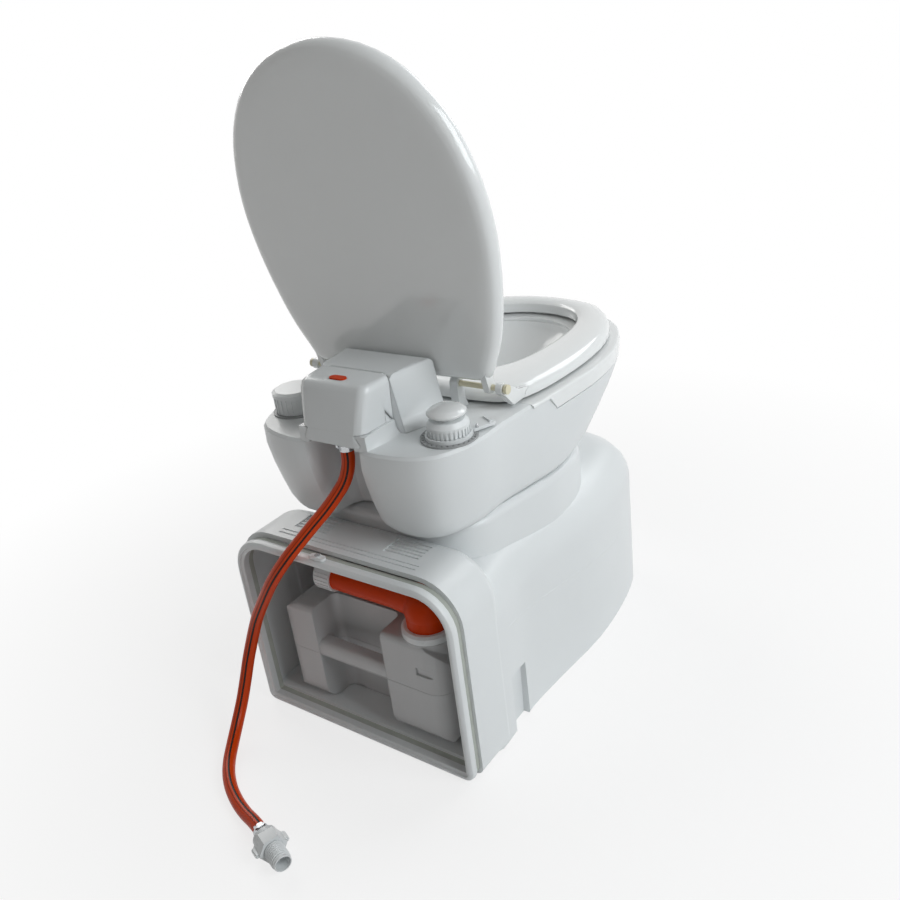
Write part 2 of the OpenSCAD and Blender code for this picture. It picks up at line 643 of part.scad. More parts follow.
// Side view of what the bowl's rim takes out of the upper unit
function rim_cut(d) = [
    [front_y - 20, band_z - d], [band_y, band_z - d], [band_y + 16, deck_z - 5 - d], [band_y + 53 + d, deck_z - 5 - d],
    [band_y + 53 + d, deck_z + 30], [front_y - 20, deck_z + 30]
];
module rim_space(d) rotate([90, 0, 90]) translate([0, 0, -base_w]) linear_extrude(2 * base_w) polygon(rim_cut(d));
module upper_housing() color("whitesmoke") difference() {
    upper_form(0);
    difference() {
        upper_form(shell_wall);
        translate([-base_w, band_y + 56, 0]) cube([2 * base_w, shell_wall, 2 * deck_z]);
    }
    rim_space(gap);
    translate([0, outlet_y, plinth_z - 1]) cylinder(r = outlet_r + 5, h = shell_wall + 2);
    translate([0, band_y + 70, pipe_z]) along_y() cylinder(r = pipe_r + gap, h = 30);
    // Room for the bowl where its funnel passes the deck
    translate([0, 0, band_z - 20]) linear_extrude(band_h + 25) polygon(oval(funnel[5], bowl_wall + 2));
    for (p = screw_places) translate([p[0], p[1], plinth_z - 1]) cylinder(r = 3.2, h = shell_wall + 2);
    translate([-pump_x, pump_y, deck_z - 30]) cylinder(r = barrel_r + 4 + gap, h = 40);
    translate([pump_x, pump_y, deck_z - 30]) cylinder(r = neck_r - 3, h = 40);
}

// Bowl: each entry is half width, half length, middle and height of the funnel's inside
// An entry whose ends lie at these distances from the bowl's front and from the mouth
function dish(w, front, back, z) = let (y0 = front_y + front, y1 = mouth_y - back)
    [w, (y1 - y0) / 2, (y1 + y0) / 2, z];
funnel = [
    [outlet_r - bowl_wall, outlet_r - bowl_wall, outlet_y, plinth_z - 16],
    [outlet_r - bowl_wall, outlet_r - bowl_wall, outlet_y, plinth_z + 20],
    [outlet_r + 8, outlet_r + 10, outlet_y - 6, plinth_z + 30],
    dish(90, 166, 270, plinth_z + 58),
    dish(112, 106, 270, plinth_z + 86),
    dish(123, 72, 272, deck_z - 18),
    dish(125, 66, 272, deck_z + 1)
];
bowl_boss_y = funnel[5][2] + funnel[5][1] + bowl_wall + 4;
function oval(f, d) = [for (i = [0 : 47]) [(f[0] + d) * cos(7.5 * i), f[2] + (f[1] + d) * sin(7.5 * i)]];
module bowl() color("white") difference() {
    union() {
        loft(concat(
            [for (i = [0 : 5]) [oval(funnel[i], bowl_wall), funnel[i][3] - (i > 1 && i < 5 ? bowl_wall : 0)]],
            [[oval(funnel[5], bowl_wall), deck_z]]
        ));
        translate([0, bowl_boss_y, pipe_z]) along_y() cylinder(r = pipe_r + 3, h = 7);
    }
    loft([for (i = [0 : 6]) [oval(funnel[i], 0), funnel[i][3] - (i == 0 ? 1 : 0)]]);
    translate([0, bowl_boss_y + 1, pipe_z]) along_y() cylinder(r = pipe_bore, h = 20);
}
// Rim of the bowl with the glossy band, hollow underneath
module bowl_rim() color("white") difference() {
    intersection() {
        loft([
            [inset(deck_line, 1), band_z],
            [inset(deck_line, -2), band_z + 2.5],
            [inset(deck_line, -2.5), deck_z - 6],
            [inset(deck_line, -1), deck_z - 1.8],
            [inset(deck_line, 2.5), deck_z]
        ], back_lobe);
        rim_space(0);
    }
    difference() {
        translate([0, 0, band_z - 1]) linear_extrude(band_h - 4.4) polygon(inset(deck_line, 6));
        translate([-base_w, band_y - 6, 0]) cube([2 * base_w, depth, 2 * deck_z]);
    }
    translate([0, 0, band_z - 1]) linear_extrude(band_h + 2) polygon(oval(funnel[5], bowl_wall));
}
// Flush nozzle under the rim at the back of the bowl, and the pipe that feeds it from the pump
module flush_nozzle() color("gainsboro") translate([0, bowl_boss_y, pipe_z]) along_y() difference() {
    union() {
        cylinder(r = pipe_bore - run_gap, h = 12);
        translate([0, 0, 8.2]) cylinder(r1 = pipe_r, r2 = pipe_r + 2, h = 8);
        translate([0, 0, 16.2]) cylinder(r = pipe_r + 6, h = 2.5);
    }
    translate([0, 0, -1]) cylinder(r = pipe_bore - 1.5, h = 15);
    translate([0, -pipe_r, 13]) rotate([90, 0, 0]) cylinder(r = 2, h = 2 * pipe_r, center = true);
}
pipe_start = -pump_x + barrel_r + 7;
function to_bowl(t) = between(pump_y, bowl_boss_y, t);
pipe_route = [
    [pipe_start, pump_y, pipe_z], [pipe_start + 16, pump_y, pipe_z], [0.68 * pipe_start, to_bowl(0.043), pipe_z],
    [0.55 * pipe_start, to_bowl(0.137), pipe_z], [0.43 * pipe_start, to_bowl(0.252), pipe_z],
    [0.31 * pipe_start, to_bowl(0.374), pipe_z], [0.19 * pipe_start, to_bowl(0.504), pipe_z],
    [0.083 * pipe_start, to_bowl(0.619), pipe_z], [0.019 * pipe_start, to_bowl(0.719), pipe_z],
    [0, to_bowl(0.82), pipe_z], [0, bowl_boss_y, pipe_z]
];
module flush_pipe() color("gainsboro") tube(pipe_route, pipe_r, pipe_bore, 8, [0, 0, 1]);

// Service box: the fixed core on the deck, and the cover that lifts off it
core_w = cover_w + 33;
core_front = cover_y - 80;
core_edge = 10;
// Half of the block seen from the back, and the whole of it seen from the side: both flare at the foot
core_back_line = concat(
    [[core_w, deck_z], [core_w - 10, deck_z + 12], [core_w - 13, deck_z + 28], [core_w - 15, deck_z + 50]],
    arc([core_w - 15.5 - core_edge, box_z - core_edge], core_edge, 0, 90)
);
core_side_line = concat(
    [[cover_y, deck_z]],
    arc([cover_y - core_edge, box_z - core_edge], core_edge, 0, 90),
    arc([core_front + 8 + core_edge, box_z - core_edge], core_edge, 90, 180),
    [[core_front + 5, deck_z + 44], [core_front + 3, deck_z + 18], [core_front, deck_z]]
);
cheek_h = 19;
bridge_z = deck_z + 12;
bridge_h = 24;
bridge_y = cover_y + 52;
module service_core() color("whitesmoke") difference() {
    intersection() {
        linear_extrude(2 * deck_z) polygon(round_plan(core_w, core_front, cover_y, 20));
        along_y() translate([0, 0, -mouth_y]) linear_extrude(depth) polygon(concat(
            core_back_line,
            [for (i = [len(core_back_line) - 1 : -1 : 0]) [-core_back_line[i][0], core_back_line[i][1]]]
        ));
        rotate([90, 0, 90]) translate([0, 0, -base_w]) linear_extrude(2 * base_w) polygon(core_side_line);
    }
    translate([-cover_w + 12, cover_y - 40, deck_z + 4]) cube([2 * cover_w - 24, 60, box_h - 14]);
}
// Cheeks beside the notch, and the bridge between them that carries the water inlet
module inlet_bracket() color("whitesmoke") {
    for (s = [-1, 1]) translate([s > 0 ? notch_w : -cover_w + cover_wall, cover_y, deck_z])
        cube([cover_w - cover_wall - notch_w, 45, cheek_h]);
    difference() {
        translate([0, 0, bridge_z]) linear_extrude(bridge_h) polygon([
            [-notch_w - 2.5, cover_y], [notch_w + 2.5, cover_y], [notch_w + 2.5, bridge_y - 10],
            [notch_w - 4, bridge_y], [-notch_w + 4, bridge_y], [-notch_w - 2.5, bridge_y - 10]
        ]);
        translate([-notch_w + 2, cover_y - 3, bridge_z + 4]) cube([2 * notch_w - 4, 31, bridge_h]);
        translate([exit[0], exit[1], bridge_z - 1]) cylinder(r = tail_r - 2, h = bridge_h + 2);
    }
}
cover_foot = both_sides([
    [0, mouth_y - 46], [cover_w - 20, mouth_y - 46], [cover_w - 11, mouth_y - 49], [cover_w - 6, mouth_y - 57],
    [cover_w - 3, cover_y + gap], [0, cover_y + gap]
]);
cover_line = both_sides([
    [0, mouth_y - 62], [cover_w - 14, mouth_y - 62], [cover_w - 4, mouth_y - 66], [cover_w, mouth_y - 76],
    [cover_w, cover_y + gap], [0, cover_y + gap]
]);
button_y = cover_y + 31;
button_t = 2.5;
button_travel = 2;
module cover_form(d) loft([
    [inset(cover_foot, d), deck_z + 3 - (d > 0 ? 5 : 0)],
    [inset(blend(cover_foot, cover_line, 0.9), d), box_z - 12 - d],
    [inset(cover_line, 2.5 + d), box_z - 4 - d],
    [inset(cover_line, 8 + d), box_z - d]
]);
module service_cover() color("gainsboro") difference() {
    cover_form(0);
    difference() {
        cover_form(cover_wall);
        translate([-15, button_y - 8, box_z - cover_wall - 7]) cube([30, 16, 20]);
    }
    // Open at the front, and cut up at the sides to sit on the cheeks
    translate([-cover_w + cover_wall, cover_y - 5, deck_z - 5])
        cube([2 * (cover_w - cover_wall), 20, box_h - cover_wall + 1]);
    translate([-cover_w - 5, cover_y - 5, deck_z - 5]) cube([2 * cover_w + 10, 5 + 62, 5 + cheek_h + gap]);
    // Well of the button
    translate([0, button_y, box_z - button_travel - 1.5]) linear_extrude(10) polygon(button_line(gap));
    translate([0, button_y, box_z - 12]) cylinder(r = 3 + run_gap, h = 20);
}
function button_line(d) = concat(arc([7, 0], 6 + d, -90, 90), arc([-7, 0], 6 + d, 90, 270));
module cover_button() color("orangered") translate([0, button_y, box_z - 1]) {
    linear_extrude(button_t) polygon(button_line(0));
    translate([0, 0, -10]) cylinder(r = 3, h = 10.5);
}

// Pump: barrel under the deck, fixed ribbed collar, and the knob on its rod with the piston
module pump_barrel() color("gainsboro") translate([-pump_x, pump_y, deck_z]) difference() {
    union() {
        translate([0, 0, -barrel_len]) cylinder(r = barrel_r + 4, h = barrel_len);
        translate([0, 0, pipe_z - deck_z]) rotate([0, 90, 0]) cylinder(r = pipe_r + 3, h = barrel_r + 7);
    }
    translate([0, 0, -barrel_len + 5]) cylinder(r = barrel_r, h = barrel_len);
    for (a = [0 : 60 : 300]) rotate([0, 0, a]) translate([9, 0, -barrel_len - 1]) cylinder(r = 3, h = 8);
    translate([0, 0, pipe_z - deck_z]) rotate([0, 90, 0]) cylinder(r = pipe_bore, h = barrel_r + 8);
}
module pump_collar() color("white") translate([-pump_x, pump_y, deck_z]) difference() {
    union() {
        cylinder(r = collar_r, h = 2.5);
        cylinder(r = collar_r - 2.2, h = collar_h - 6);
        translate([0, 0, collar_h - 10]) cylinder(r = collar_r - 0.6, h = 4);
        translate([0, 0, collar_h - 6]) cylinder(r1 = collar_r - 0.6, r2 = collar_r - 5, h = 6);
        for (a = [0 : 12 : 348]) rotate([0, 0, a]) translate([collar_r - 3, -1.2, 0]) cube([2.6, 2.4, collar_h - 8]);
    }
    translate([0, 0, -1]) cylinder(r = 14 + run_gap, h = collar_h + 2);
}
module slot_ring() color("dimgray") translate([-pump_x, pump_y, deck_z]) difference() {
    cylinder(r = collar_r + 9.5, h = 2.4);
    translate([0, 0, -1]) cylinder(r = collar_r + 3.2, h = 5);
    for (a = [0 : 12 : 348]) rotate([0, 0, a]) translate([collar_r + 4.6, -1.3, 0.8]) cube([3.2, 2.6, 3]);
}
module valve_lever() color("white") translate([-pump_x, pump_y, deck_z]) difference() {
    union() {
        translate([0, 0, gap]) cylinder(r = collar_r + 2.8, h = 6.5);
        rotate([0, 0, 242]) {
            translate([0, 0, 2.4 + gap]) linear_extrude(4) polygon(concat(
                [[collar_r, -15], [tab_reach - 12, -13]],
                arc([tab_reach - 7, -6], 7, -90, 0),
                arc([tab_reach - 7, 6], 7, 0, 90),
                [[tab_reach - 12, 13], [collar_r, 15]]
            ));
            translate([tab_reach - 9, -9, 5]) cube([3, 18, 4]);
        }
    }
    translate([0, 0, -1]) cylinder(r = collar_r + run_gap, h = 20);
}
module lever_pin() color("silver") translate([-pump_x, pump_y, deck_z]) rotate([0, 0, 222])
    translate([collar_r + 8, 0, 6.4 + gap]) {
        cylinder(r = 2.2, h = 3);
        translate([0, 0, 3]) sphere(r = 2.2);
    }
module pump_knob() color("white") translate([-pump_x, pump_y, deck_z]) {
    translate([0, 0, collar_h - 4]) cylinder(r = 14, h = 9);
    translate([0, 0, collar_h + 4]) rotate_extrude() polygon(concat(
        [[0, 0], [knob_r - 6, 0], [knob_r - 1.6, 2.2]],
        arc([knob_r - 2.2, 5], 2.2, -40, 60, 6),
        [for (a = [24 : 11 : 90]) [(knob_r - 2.6) * cos(a), 6.6 + 7.5 * sin(a)]]
    ));
}
module pump_piston() color("gray") translate([-pump_x, pump_y, deck_z]) {
    translate([0, 0, -barrel_len + 18]) cylinder(r = 6, h = barrel_len - 18 + collar_h - 4);
    difference() {
        translate([0, 0, -barrel_len + 8]) cylinder(r = barrel_r - run_gap, h = 10);
        translate([0, 0, -barrel_len + 11.5]) difference() {
            cylinder(r = barrel_r + 2, h = 3);
            translate([0, 0, -1]) cylinder(r = barrel_r - 3, h = 5);
        }
    }
}

// Filler: neck on the deck, ribbed cap and its seal
module filler_neck() color("gainsboro") translate([pump_x, pump_y, deck_z]) difference() {
    union() {
        cylinder(r = neck_r, h = filler_cap_h - 9);
        cylinder(r = neck_r + 9, h = 2);
        for (z = [8, 14]) translate([0, 0, z]) cylinder(r = neck_r + 1, h = 2);
    }
    translate([0, 0, -1]) cylinder(r = neck_r - 3, h = filler_cap_h);
}
module filler_cap() color("white") translate([pump_x, pump_y, deck_z]) difference() {
    union() {
        translate([0, 0, 2 + gap]) cylinder(r = filler_cap_r - 2, h = filler_cap_h - 10);
        translate([0, 0, filler_cap_h - 8]) cylinder(r = filler_cap_r, h = 5);
        translate([0, 0, filler_cap_h - 3]) cylinder(r1 = filler_cap_r, r2 = filler_cap_r - 5, h = 3);
        for (a = [0 : 15 : 345]) rotate([0, 0, a])
            translate([filler_cap_r - 4, -1.5, 3]) cube([3.2, 3, filler_cap_h - 10]);
    }
    cylinder(r = neck_r + 1 + run_gap, h = filler_cap_h - 5);
}
module filler_seal() color("black") translate([pump_x, pump_y, deck_z + filler_cap_h - 9 + gap]) difference() {
    cylinder(r = neck_r, h = 4 - 2 * gap);
    translate([0, 0, -1]) cylinder(r = neck_r - 5, h = 8);
}

// Hinge: fixed brackets, one rod on each side with its end cap
module across() rotate([90, 0, 90]) children();
module hinge_brackets() color("whitesmoke") for (s = [-1, 1]) translate([s * 90 - 6, hinge_y, 0]) across() difference() {
    linear_extrude(12) union() {
        translate([0, hinge_z]) circle(r = 8);
        translate([-8, deck_z]) square([16, hinge_z - deck_z]);
        polygon([[-14, deck_z], [14, deck_z], [8, deck_z + 12], [-8, deck_z + 12]]);
    }
    translate([0, hinge_z, -1]) cylinder(r = rod_r + run_gap, h = 14);
}
module hinge_rods() color("wheat") for (s = [-1, 1]) translate([s > 0 ? 83 : -170, hinge_y, 0]) across()
    translate([0, hinge_z, 0]) cylinder(r = rod_r, h = 87);
module rod_caps() color("wheat") for (s = [-1, 1]) translate([s > 0 ? 166.5 : -171, hinge_y, 0]) across() difference() {
    translate([0, hinge_z, 0]) cylinder(r = rod_r + 2.5, h = 4.5);
    translate([0, hinge_z, s > 0 ? -1 : 1]) cylinder(r = rod_r + run_gap, h = 4.5);
}

// Seat: a hollow ring that is open underneath, with two hinge arms
seat_line = smooth(both_sides([
    [0, mouth_y - 224], [0.55 * seat_w, mouth_y - 225], [0.83 * seat_w, mouth_y - 236], [0.94 * seat_w, mouth_y - 275],
    [0.99 * seat_w, mouth_y - 340], [seat_w, mouth_y - 410], [0.955 * seat_w, mouth_y - 480],
    [0.81 * seat_w, mouth_y - 548], [0.55 * seat_w, front_y + 38], [0.24 * seat_w, front_y + 19], [0, front_y + 16]
]), 3);
seat_hole = smooth(both_sides([
    [0, mouth_y - 296], [0.4 * seat_open_w, mouth_y - 299], [0.75 * seat_open_w, mouth_y - 318],
    [0.93 * seat_open_w, mouth_y - 360], [0.99 * seat_open_w, mouth_y - 410], [seat_open_w, mouth_y - 455],
    [0.96 * seat_open_w, mouth_y - 500], [0.84 * seat_open_w, mouth_y - 540], [0.62 * seat_open_w, mouth_y - 568],
    [0.3 * seat_open_w, mouth_y - 584], [0, mouth_y - 588]
]), 3);
stud_r = 3;
stud_h = 10;
function seat_ring(u, z) = [blend(seat_line, seat_hole, u), z];
bumper_places = [[134, mouth_y - 290], [-134, mouth_y - 290], [134, mouth_y - 495], [-134, mouth_y - 495]];
module seat() color("white") difference() {
    union() {
        hoop([
            seat_ring(0.045, seat_base_z), seat_ring(0, seat_base_z + 2), seat_ring(0, seat_top_z - 14),
            seat_ring(0.04, seat_top_z - 8), seat_ring(0.13, seat_top_z - 3.2), seat_ring(0.3, seat_top_z - 0.4),
            seat_ring(0.55, seat_top_z), seat_ring(0.82, seat_top_z - 1.6), seat_ring(0.96, seat_top_z - 6),
            seat_ring(1, seat_top_z - 12), seat_ring(0.97, seat_base_z + 2), seat_ring(0.92, seat_base_z),
            seat_ring(0.86, seat_top_z - 9), seat_ring(0.3, seat_top_z - 5), seat_ring(0.12, seat_top_z - 11), seat_ring(0.085, seat_base_z + 3)
        ]);
        for (p = bumper_places) translate([p[0], p[1], seat_base_z + 2]) cylinder(r = 8, h = seat_t - 5);
    }
    for (s = [-1, 1]) seat_arm(s);
    for (p = bumper_places) translate([p[0], p[1], seat_base_z]) cylinder(r = stud_r, h = stud_h + 3);
}
module seat_arm(s) translate([s * 160 - 4.5, 0, 0]) across() linear_extrude(9) union() {
    translate([hinge_y, hinge_z]) circle(r = 8);
    polygon([
        [hinge_y + 6, hinge_z - 5.5], [hinge_y - 3, hinge_z - 12], [hinge_y - 20, seat_base_z + 3],
        [hinge_y - 46, seat_base_z + 3], [hinge_y - 60, seat_top_z - 8], [hinge_y - 34, seat_top_z - 2],
        [hinge_y - 6, hinge_z + 5.5]
    ]);
}
module seat_arms() color("white") difference() {
    for (s = [-1, 1]) seat_arm(s);
    for (s = [-1, 1]) translate([s * 160 - 8, hinge_y, 0]) across()
        translate([0, hinge_z, 0]) cylinder(r = rod_r + run_gap, h = 16);
}
module seat_bumpers() color("dimgray") for (p = bumper_places) translate([p[0], p[1], deck_z + gap]) {
    cylinder(r1 = 6, r2 = 7, h = seat_base_z + 2 - deck_z - gap);
    cylinder(r = stud_r, h = seat_base_z + 2 - deck_z - gap + stud_h);
}

// Lid: a flat-topped shell with a rounded edge, open underneath, drawn closed and then swung open
lid_y = hinge_y - 9;
lid_pads = [[122, mouth_y - 330], [-122, mouth_y - 330], [118, mouth_y - 535], [-118, mouth_y - 535]];
lid_tip = hinge_y - lid_len;
lid_line = smooth(both_sides([
    [0, lid_y], [0.55 * lid_w, lid_y - 0.5], [0.73 * lid_w, lid_y - 4], [0.8 * lid_w, lid_y - 26],
    [0.9 * lid_w, lid_y - 74], [0.98 * lid_w, lid_y - 150], [lid_w, lid_y - 222], [0.95 * lid_w, lid_y - 284],
    [0.83 * lid_w, lid_y - 342], [0.62 * lid_w, lid_tip + 42], [0.34 * lid_w, lid_tip + 11], [0, lid_tip]
]), 3);
module swing(a) translate([0, hinge_y, hinge_z]) rotate([a, 0, 0]) translate([0, -hinge_y, -hinge_z]) children();
lid_top = rim_z + lid_t;
module lid() color("white") swing(-lid_swing) difference() {
    union() {
        loft([
            [shrink(lid_line, 60), lid_top - 3.5],
            [shrink(lid_line, 25), lid_top - 4.5],
            [shrink(lid_line, 12), lid_top - 9],
            [shrink(lid_line, 4.5), rim_z + 0.6],
            [shrink(lid_line, 3), rim_z],
            [shrink(lid_line, 1), rim_z + 0.8],
            [shrink(lid_line, 0), rim_z + 4],
            [shrink(lid_line, 0.6), lid_top - 13],
            [shrink(lid_line, 3), lid_top - 7],
            [shrink(lid_line, 8), lid_top - 3],
            [shrink(lid_line, 16), lid_top - 0.8],
            [shrink(lid_line, 28), lid_top],
            [shrink(lid_line, 60), lid_top]
        ]);
        for (p = lid_pads) translate([p[0], p[1], rim_z + 1]) cylinder(r = 7.5, h = lid_t - 3);
    }
    for (s = [-1, 1]) lid_lug(s);
    for (p = lid_pads) translate([p[0], p[1], rim_z]) cylinder(r = stud_r, h = stud_h + 1);
}
module lid_lug(s) translate([s * 142 - 4.5, 0, 0]) across() linear_extrude(9) union() {
    translate([hinge_y, hinge_z]) circle(r = 8);
    polygon([
        [hinge_y, hinge_z - 8], [hinge_y + 4, hinge_z + 7], [lid_y - 6, lid_top - 5], [lid_y - 40, lid_top - 3],
        [lid_y - 40, lid_top - 8], [lid_y - 12, rim_z]
    ]);
}
module lid_lugs() color("white") swing(-lid_swing) difference() {
    for (s = [-1, 1]) lid_lug(s);
    for (s = [-1, 1]) translate([s * 142 - 8, hinge_y, 0]) across()
        translate([0, hinge_z, 0]) cylinder(r = rod_r + run_gap, h = 16);
}
module lid_bumpers() color("dimgray") swing(-lid_swing) for (p = lid_pads)
    translate([p[0], p[1], seat_top_z + gap]) {
        cylinder(r1 = 5, r2 = 6.5, h = rim_z + 1 - seat_top_z - gap);
        cylinder(r = stud_r, h = rim_z + 1 - seat_top_z - gap + stud_h);
    }

// Water hose: from the spigot under the cover, down past the mouth's edge and along the floor
hose_end = [-12, 529, 18.3];
hose_yaw = 159.5;
hose_route = [
    [-10, 256, 452], [-10, 256, 438], [-9.5, 257, 423], [-7, 260, 408], [-2, 265.5, 393], [7, 274.5, 377],
    [18.5, 286, 359.5], [32.5, 300, 341], [47.5, 314.5, 321], [63.5, 327, 300], [81, 335, 277], [99, 338, 253],
    [116, 338, 229], [132, 337.5, 206], [147, 337.5, 183], [160, 338.5, 158], [170, 343, 131], [176, 351.5, 104],
    [177.5, 364, 76], [175, 381, 50], [168, 404, 28], [156, 428, 15], [140, 451, 9.8], [120, 471, 9.3],
    [96, 488, 9.3], [70, 501, 9.3], [44, 510.5, 11], [22, 517, 15], [2, 523.8, 18.3], hose_end
];
hose_top = hose_route[0][2];
tail_r = hose_bore - 0.5;
clamp_w = 9;
module hose() color("orangered") tube(hose_route, hose_r, hose_bore, 8, [1, 0, 0]);
module hose_spigot() color("goldenrod") translate([exit[0], exit[1], hose_top]) difference() {
    union() {
        translate([0, 0, -14]) cylinder(r = tail_r, h = 16);
        cylinder(r = hose_r + 2, h = bridge_z - hose_top);
    }
    translate([0, 0, -15]) cylinder(r = tail_r - 2, h = 40);
}
// Steel band with a screw block on its side
module band_clamp(block) {
    difference() {
        cylinder(r = hose_r + 1.7, h = clamp_w);
        translate([0, 0, -1]) cylinder(r = hose_r + 0.12, h = clamp_w + 2);
    }
    difference() {
        translate([block > 0 ? hose_r + 1 : -hose_r - 5.5, -4, 0]) cube([4.5, 8, clamp_w]);
        translate([0, 0, -1]) cylinder(r = hose_r + 0.8, h = clamp_w + 2);
    }
}
module spigot_clamp() color("silver") translate([exit[0], exit[1], hose_top - 13]) band_clamp(1);
module at_hose_end() translate(hose_end) rotate([0, 0, hose_yaw]) rotate([0, 90, 0]) children();
module connector_clamp() color("silver") at_hose_end() translate([0, 0, -12]) band_clamp(-1);
nut_z = 8;
nut_h = 20;
thread_z = nut_z + nut_h + 2 * gap;
module hose_connector() color("white") at_hose_end() difference() {
    union() {
        translate([0, 0, -13]) cylinder(r = tail_r, h = 16);
        cylinder(r = thread_r + 3, h = nut_z - gap);
        cylinder(r = thread_r - gap, h = thread_z + 1);
        translate([0, 0, thread_z]) cylinder(r = thread_r, h = 56 - thread_z);
    }
    translate([0, 0, -14]) cylinder(r = tail_r - 2, h = 30);
    translate([0, 0, 12]) cylinder(r = thread_r - 3.4, h = 60);
}
module connector_nut() color("white") at_hose_end() translate([0, 0, nut_z]) difference() {
    union() {
        rotate([0, 0, 30]) cylinder(r = (thread_r + 4.2) / cos(30), h = nut_h, $fn = 6);
        for (s = [-1, 1]) translate([-3, s * (thread_r + 5) - 5, 2]) cube([6, 10, nut_h - 4]);
    }
    translate([0, 0, -1]) cylinder(r = thread_r + run_gap, h = nut_h + 2);
}

base_housing();
base_floor();
pedestal();
mouth_collar();
mouth_frame();
mouth_gasket();
tank_latch();
latch_pin();
drop_pipe();
outlet_seal();
hold_down_screws();
hold_down_nuts();
waste_tank();
inlet_collar();
valve_blade();
spout_collar();
pour_spout();
spout_cap();
spout_cap_seal();
upper_housing();
bowl();
bowl_rim();
flush_nozzle();
flush_pipe();
service_core();
inlet_bracket();
service_cover();
cover_button();
pump_barrel();
pump_collar();
slot_ring();
valve_lever();
lever_pin();
pump_knob();
pump_piston();
filler_neck();
filler_cap();
filler_seal();
hinge_brackets();
hinge_rods();
rod_caps();
seat();
seat_arms();
seat_bumpers();
lid();
lid_lugs();
lid_bumpers();
hose_spigot();
spigot_clamp();
hose();
connector_clamp();
hose_connector();
connector_nut();
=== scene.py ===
"""Looks for a portable cassette toilet with a water hose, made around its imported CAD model.

Run as a script, it loads the model, makes every piece through its own operator and finishes.
"""

import json
import math

import bmesh
import bpy
from mathutils import Matrix, Vector

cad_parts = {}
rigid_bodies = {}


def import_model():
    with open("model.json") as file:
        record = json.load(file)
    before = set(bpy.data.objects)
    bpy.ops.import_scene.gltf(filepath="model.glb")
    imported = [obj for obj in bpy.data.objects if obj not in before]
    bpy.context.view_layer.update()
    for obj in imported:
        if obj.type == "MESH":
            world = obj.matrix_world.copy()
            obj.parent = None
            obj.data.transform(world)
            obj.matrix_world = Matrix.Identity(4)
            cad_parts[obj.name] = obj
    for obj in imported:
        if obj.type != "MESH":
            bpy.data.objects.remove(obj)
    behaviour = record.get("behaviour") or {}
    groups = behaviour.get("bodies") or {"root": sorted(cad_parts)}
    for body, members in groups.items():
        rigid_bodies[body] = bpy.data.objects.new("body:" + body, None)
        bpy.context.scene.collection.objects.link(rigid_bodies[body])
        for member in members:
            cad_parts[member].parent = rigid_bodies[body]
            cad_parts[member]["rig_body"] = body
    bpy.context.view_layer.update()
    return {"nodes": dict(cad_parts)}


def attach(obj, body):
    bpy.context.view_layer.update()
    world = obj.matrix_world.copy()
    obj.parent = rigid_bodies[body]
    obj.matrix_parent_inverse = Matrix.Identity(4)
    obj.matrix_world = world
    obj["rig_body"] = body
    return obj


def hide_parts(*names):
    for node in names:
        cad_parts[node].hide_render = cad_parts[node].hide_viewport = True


bl_info = {
    "name": "Portable toilet dressing",
    "version": (1, 0, 0),
    "blender": (4, 5, 0),
    "location": "View3D > Sidebar > Toilet",
    "description": "Finishes, hose, small parts and studio for a portable cassette toilet",
    "category": "Object",
}

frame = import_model()
MM = 0.001
# Points nearer to each other than this, in metres, are taken as one
WELD = 0.000005
# The photograph is square, with this many pixels on a side
IMAGE_SIDE = 900


# Colours and sizes that a user would change


def tint(code):
    """A colour written as on the web, in the linear values that Blender mixes."""
    parts = [int(code[i : i + 2], 16) / 255 for i in (1, 3, 5)]
    return tuple(c / 12.92 if c <= 0.04045 else ((c + 0.055) / 1.055) ** 2.4 for c in parts)


def colour_choice(name, code, words):
    """A colour that the user can change."""
    return bpy.props.FloatVectorProperty(
        name=name, description=words, size=3, subtype="COLOR", default=tint(code), min=0, max=1
    )


def amount_choice(name, value, words, unit="NONE"):
    """An amount from nought up that the user can change."""
    return bpy.props.FloatProperty(name=name, description=words, default=value, min=0, unit=unit)


def angle_choice(name, degrees, words):
    """An angle that the user can change."""
    return bpy.props.FloatProperty(
        name=name, description=words, default=math.radians(degrees), subtype="ANGLE"
    )


class ToiletColours(bpy.types.PropertyGroup):
    """Colours of the toilet's plastics, rubber and metal."""

    shell: colour_choice("Housings", "#dfe2e3", "Satin plastic of the base and the upper unit")
    gloss: colour_choice("Seat and lid", "#e6e8e8", "Glossy plastic of the seat, lid and bowl")
    tank: colour_choice("Tank", "#c2c3c4", "Blown plastic of the waste tank")
    orange: colour_choice("Spout and button", "#cf3d05", "Orange plastic")
    hose: colour_choice("Hose", "#d04106", "Orange hose")
    stripe: colour_choice("Stripe", "#1d1410", "Stripe along the hose")
    gasket: colour_choice("Gasket", "#aeb2ab", "Gasket round the mouth")
    rubber: colour_choice("Rubber", "#3a3b3c", "Bumpers and seals")
    cream: colour_choice("Hinge", "#d9d2b4", "Hinge rods and their caps")
    grey: colour_choice("Grey plastic", "#9b9d9e", "Slot ring, blade and pipes")
    steel: colour_choice("Steel", "#b9bbbd", "Clamps, screws and pins")
    brass: colour_choice("Brass", "#b08d4f", "Stub under the service box")


class ToiletSizes(bpy.types.PropertyGroup):
    """Sizes of the grain, the stripe and the small parts."""

    hose_diameter: amount_choice("Hose", 0.018, "Outside diameter of the hose", "LENGTH")
    stripe_width: amount_choice("Stripe", 0.0028, "Width of the stripe along the hose", "LENGTH")
    grain: amount_choice("Grain", 0.0007, "Size of the satin plastic's grain", "LENGTH")
    thread_pitch: amount_choice("Thread pitch", 0.0032, "Pitch of the connector's thread", "LENGTH")


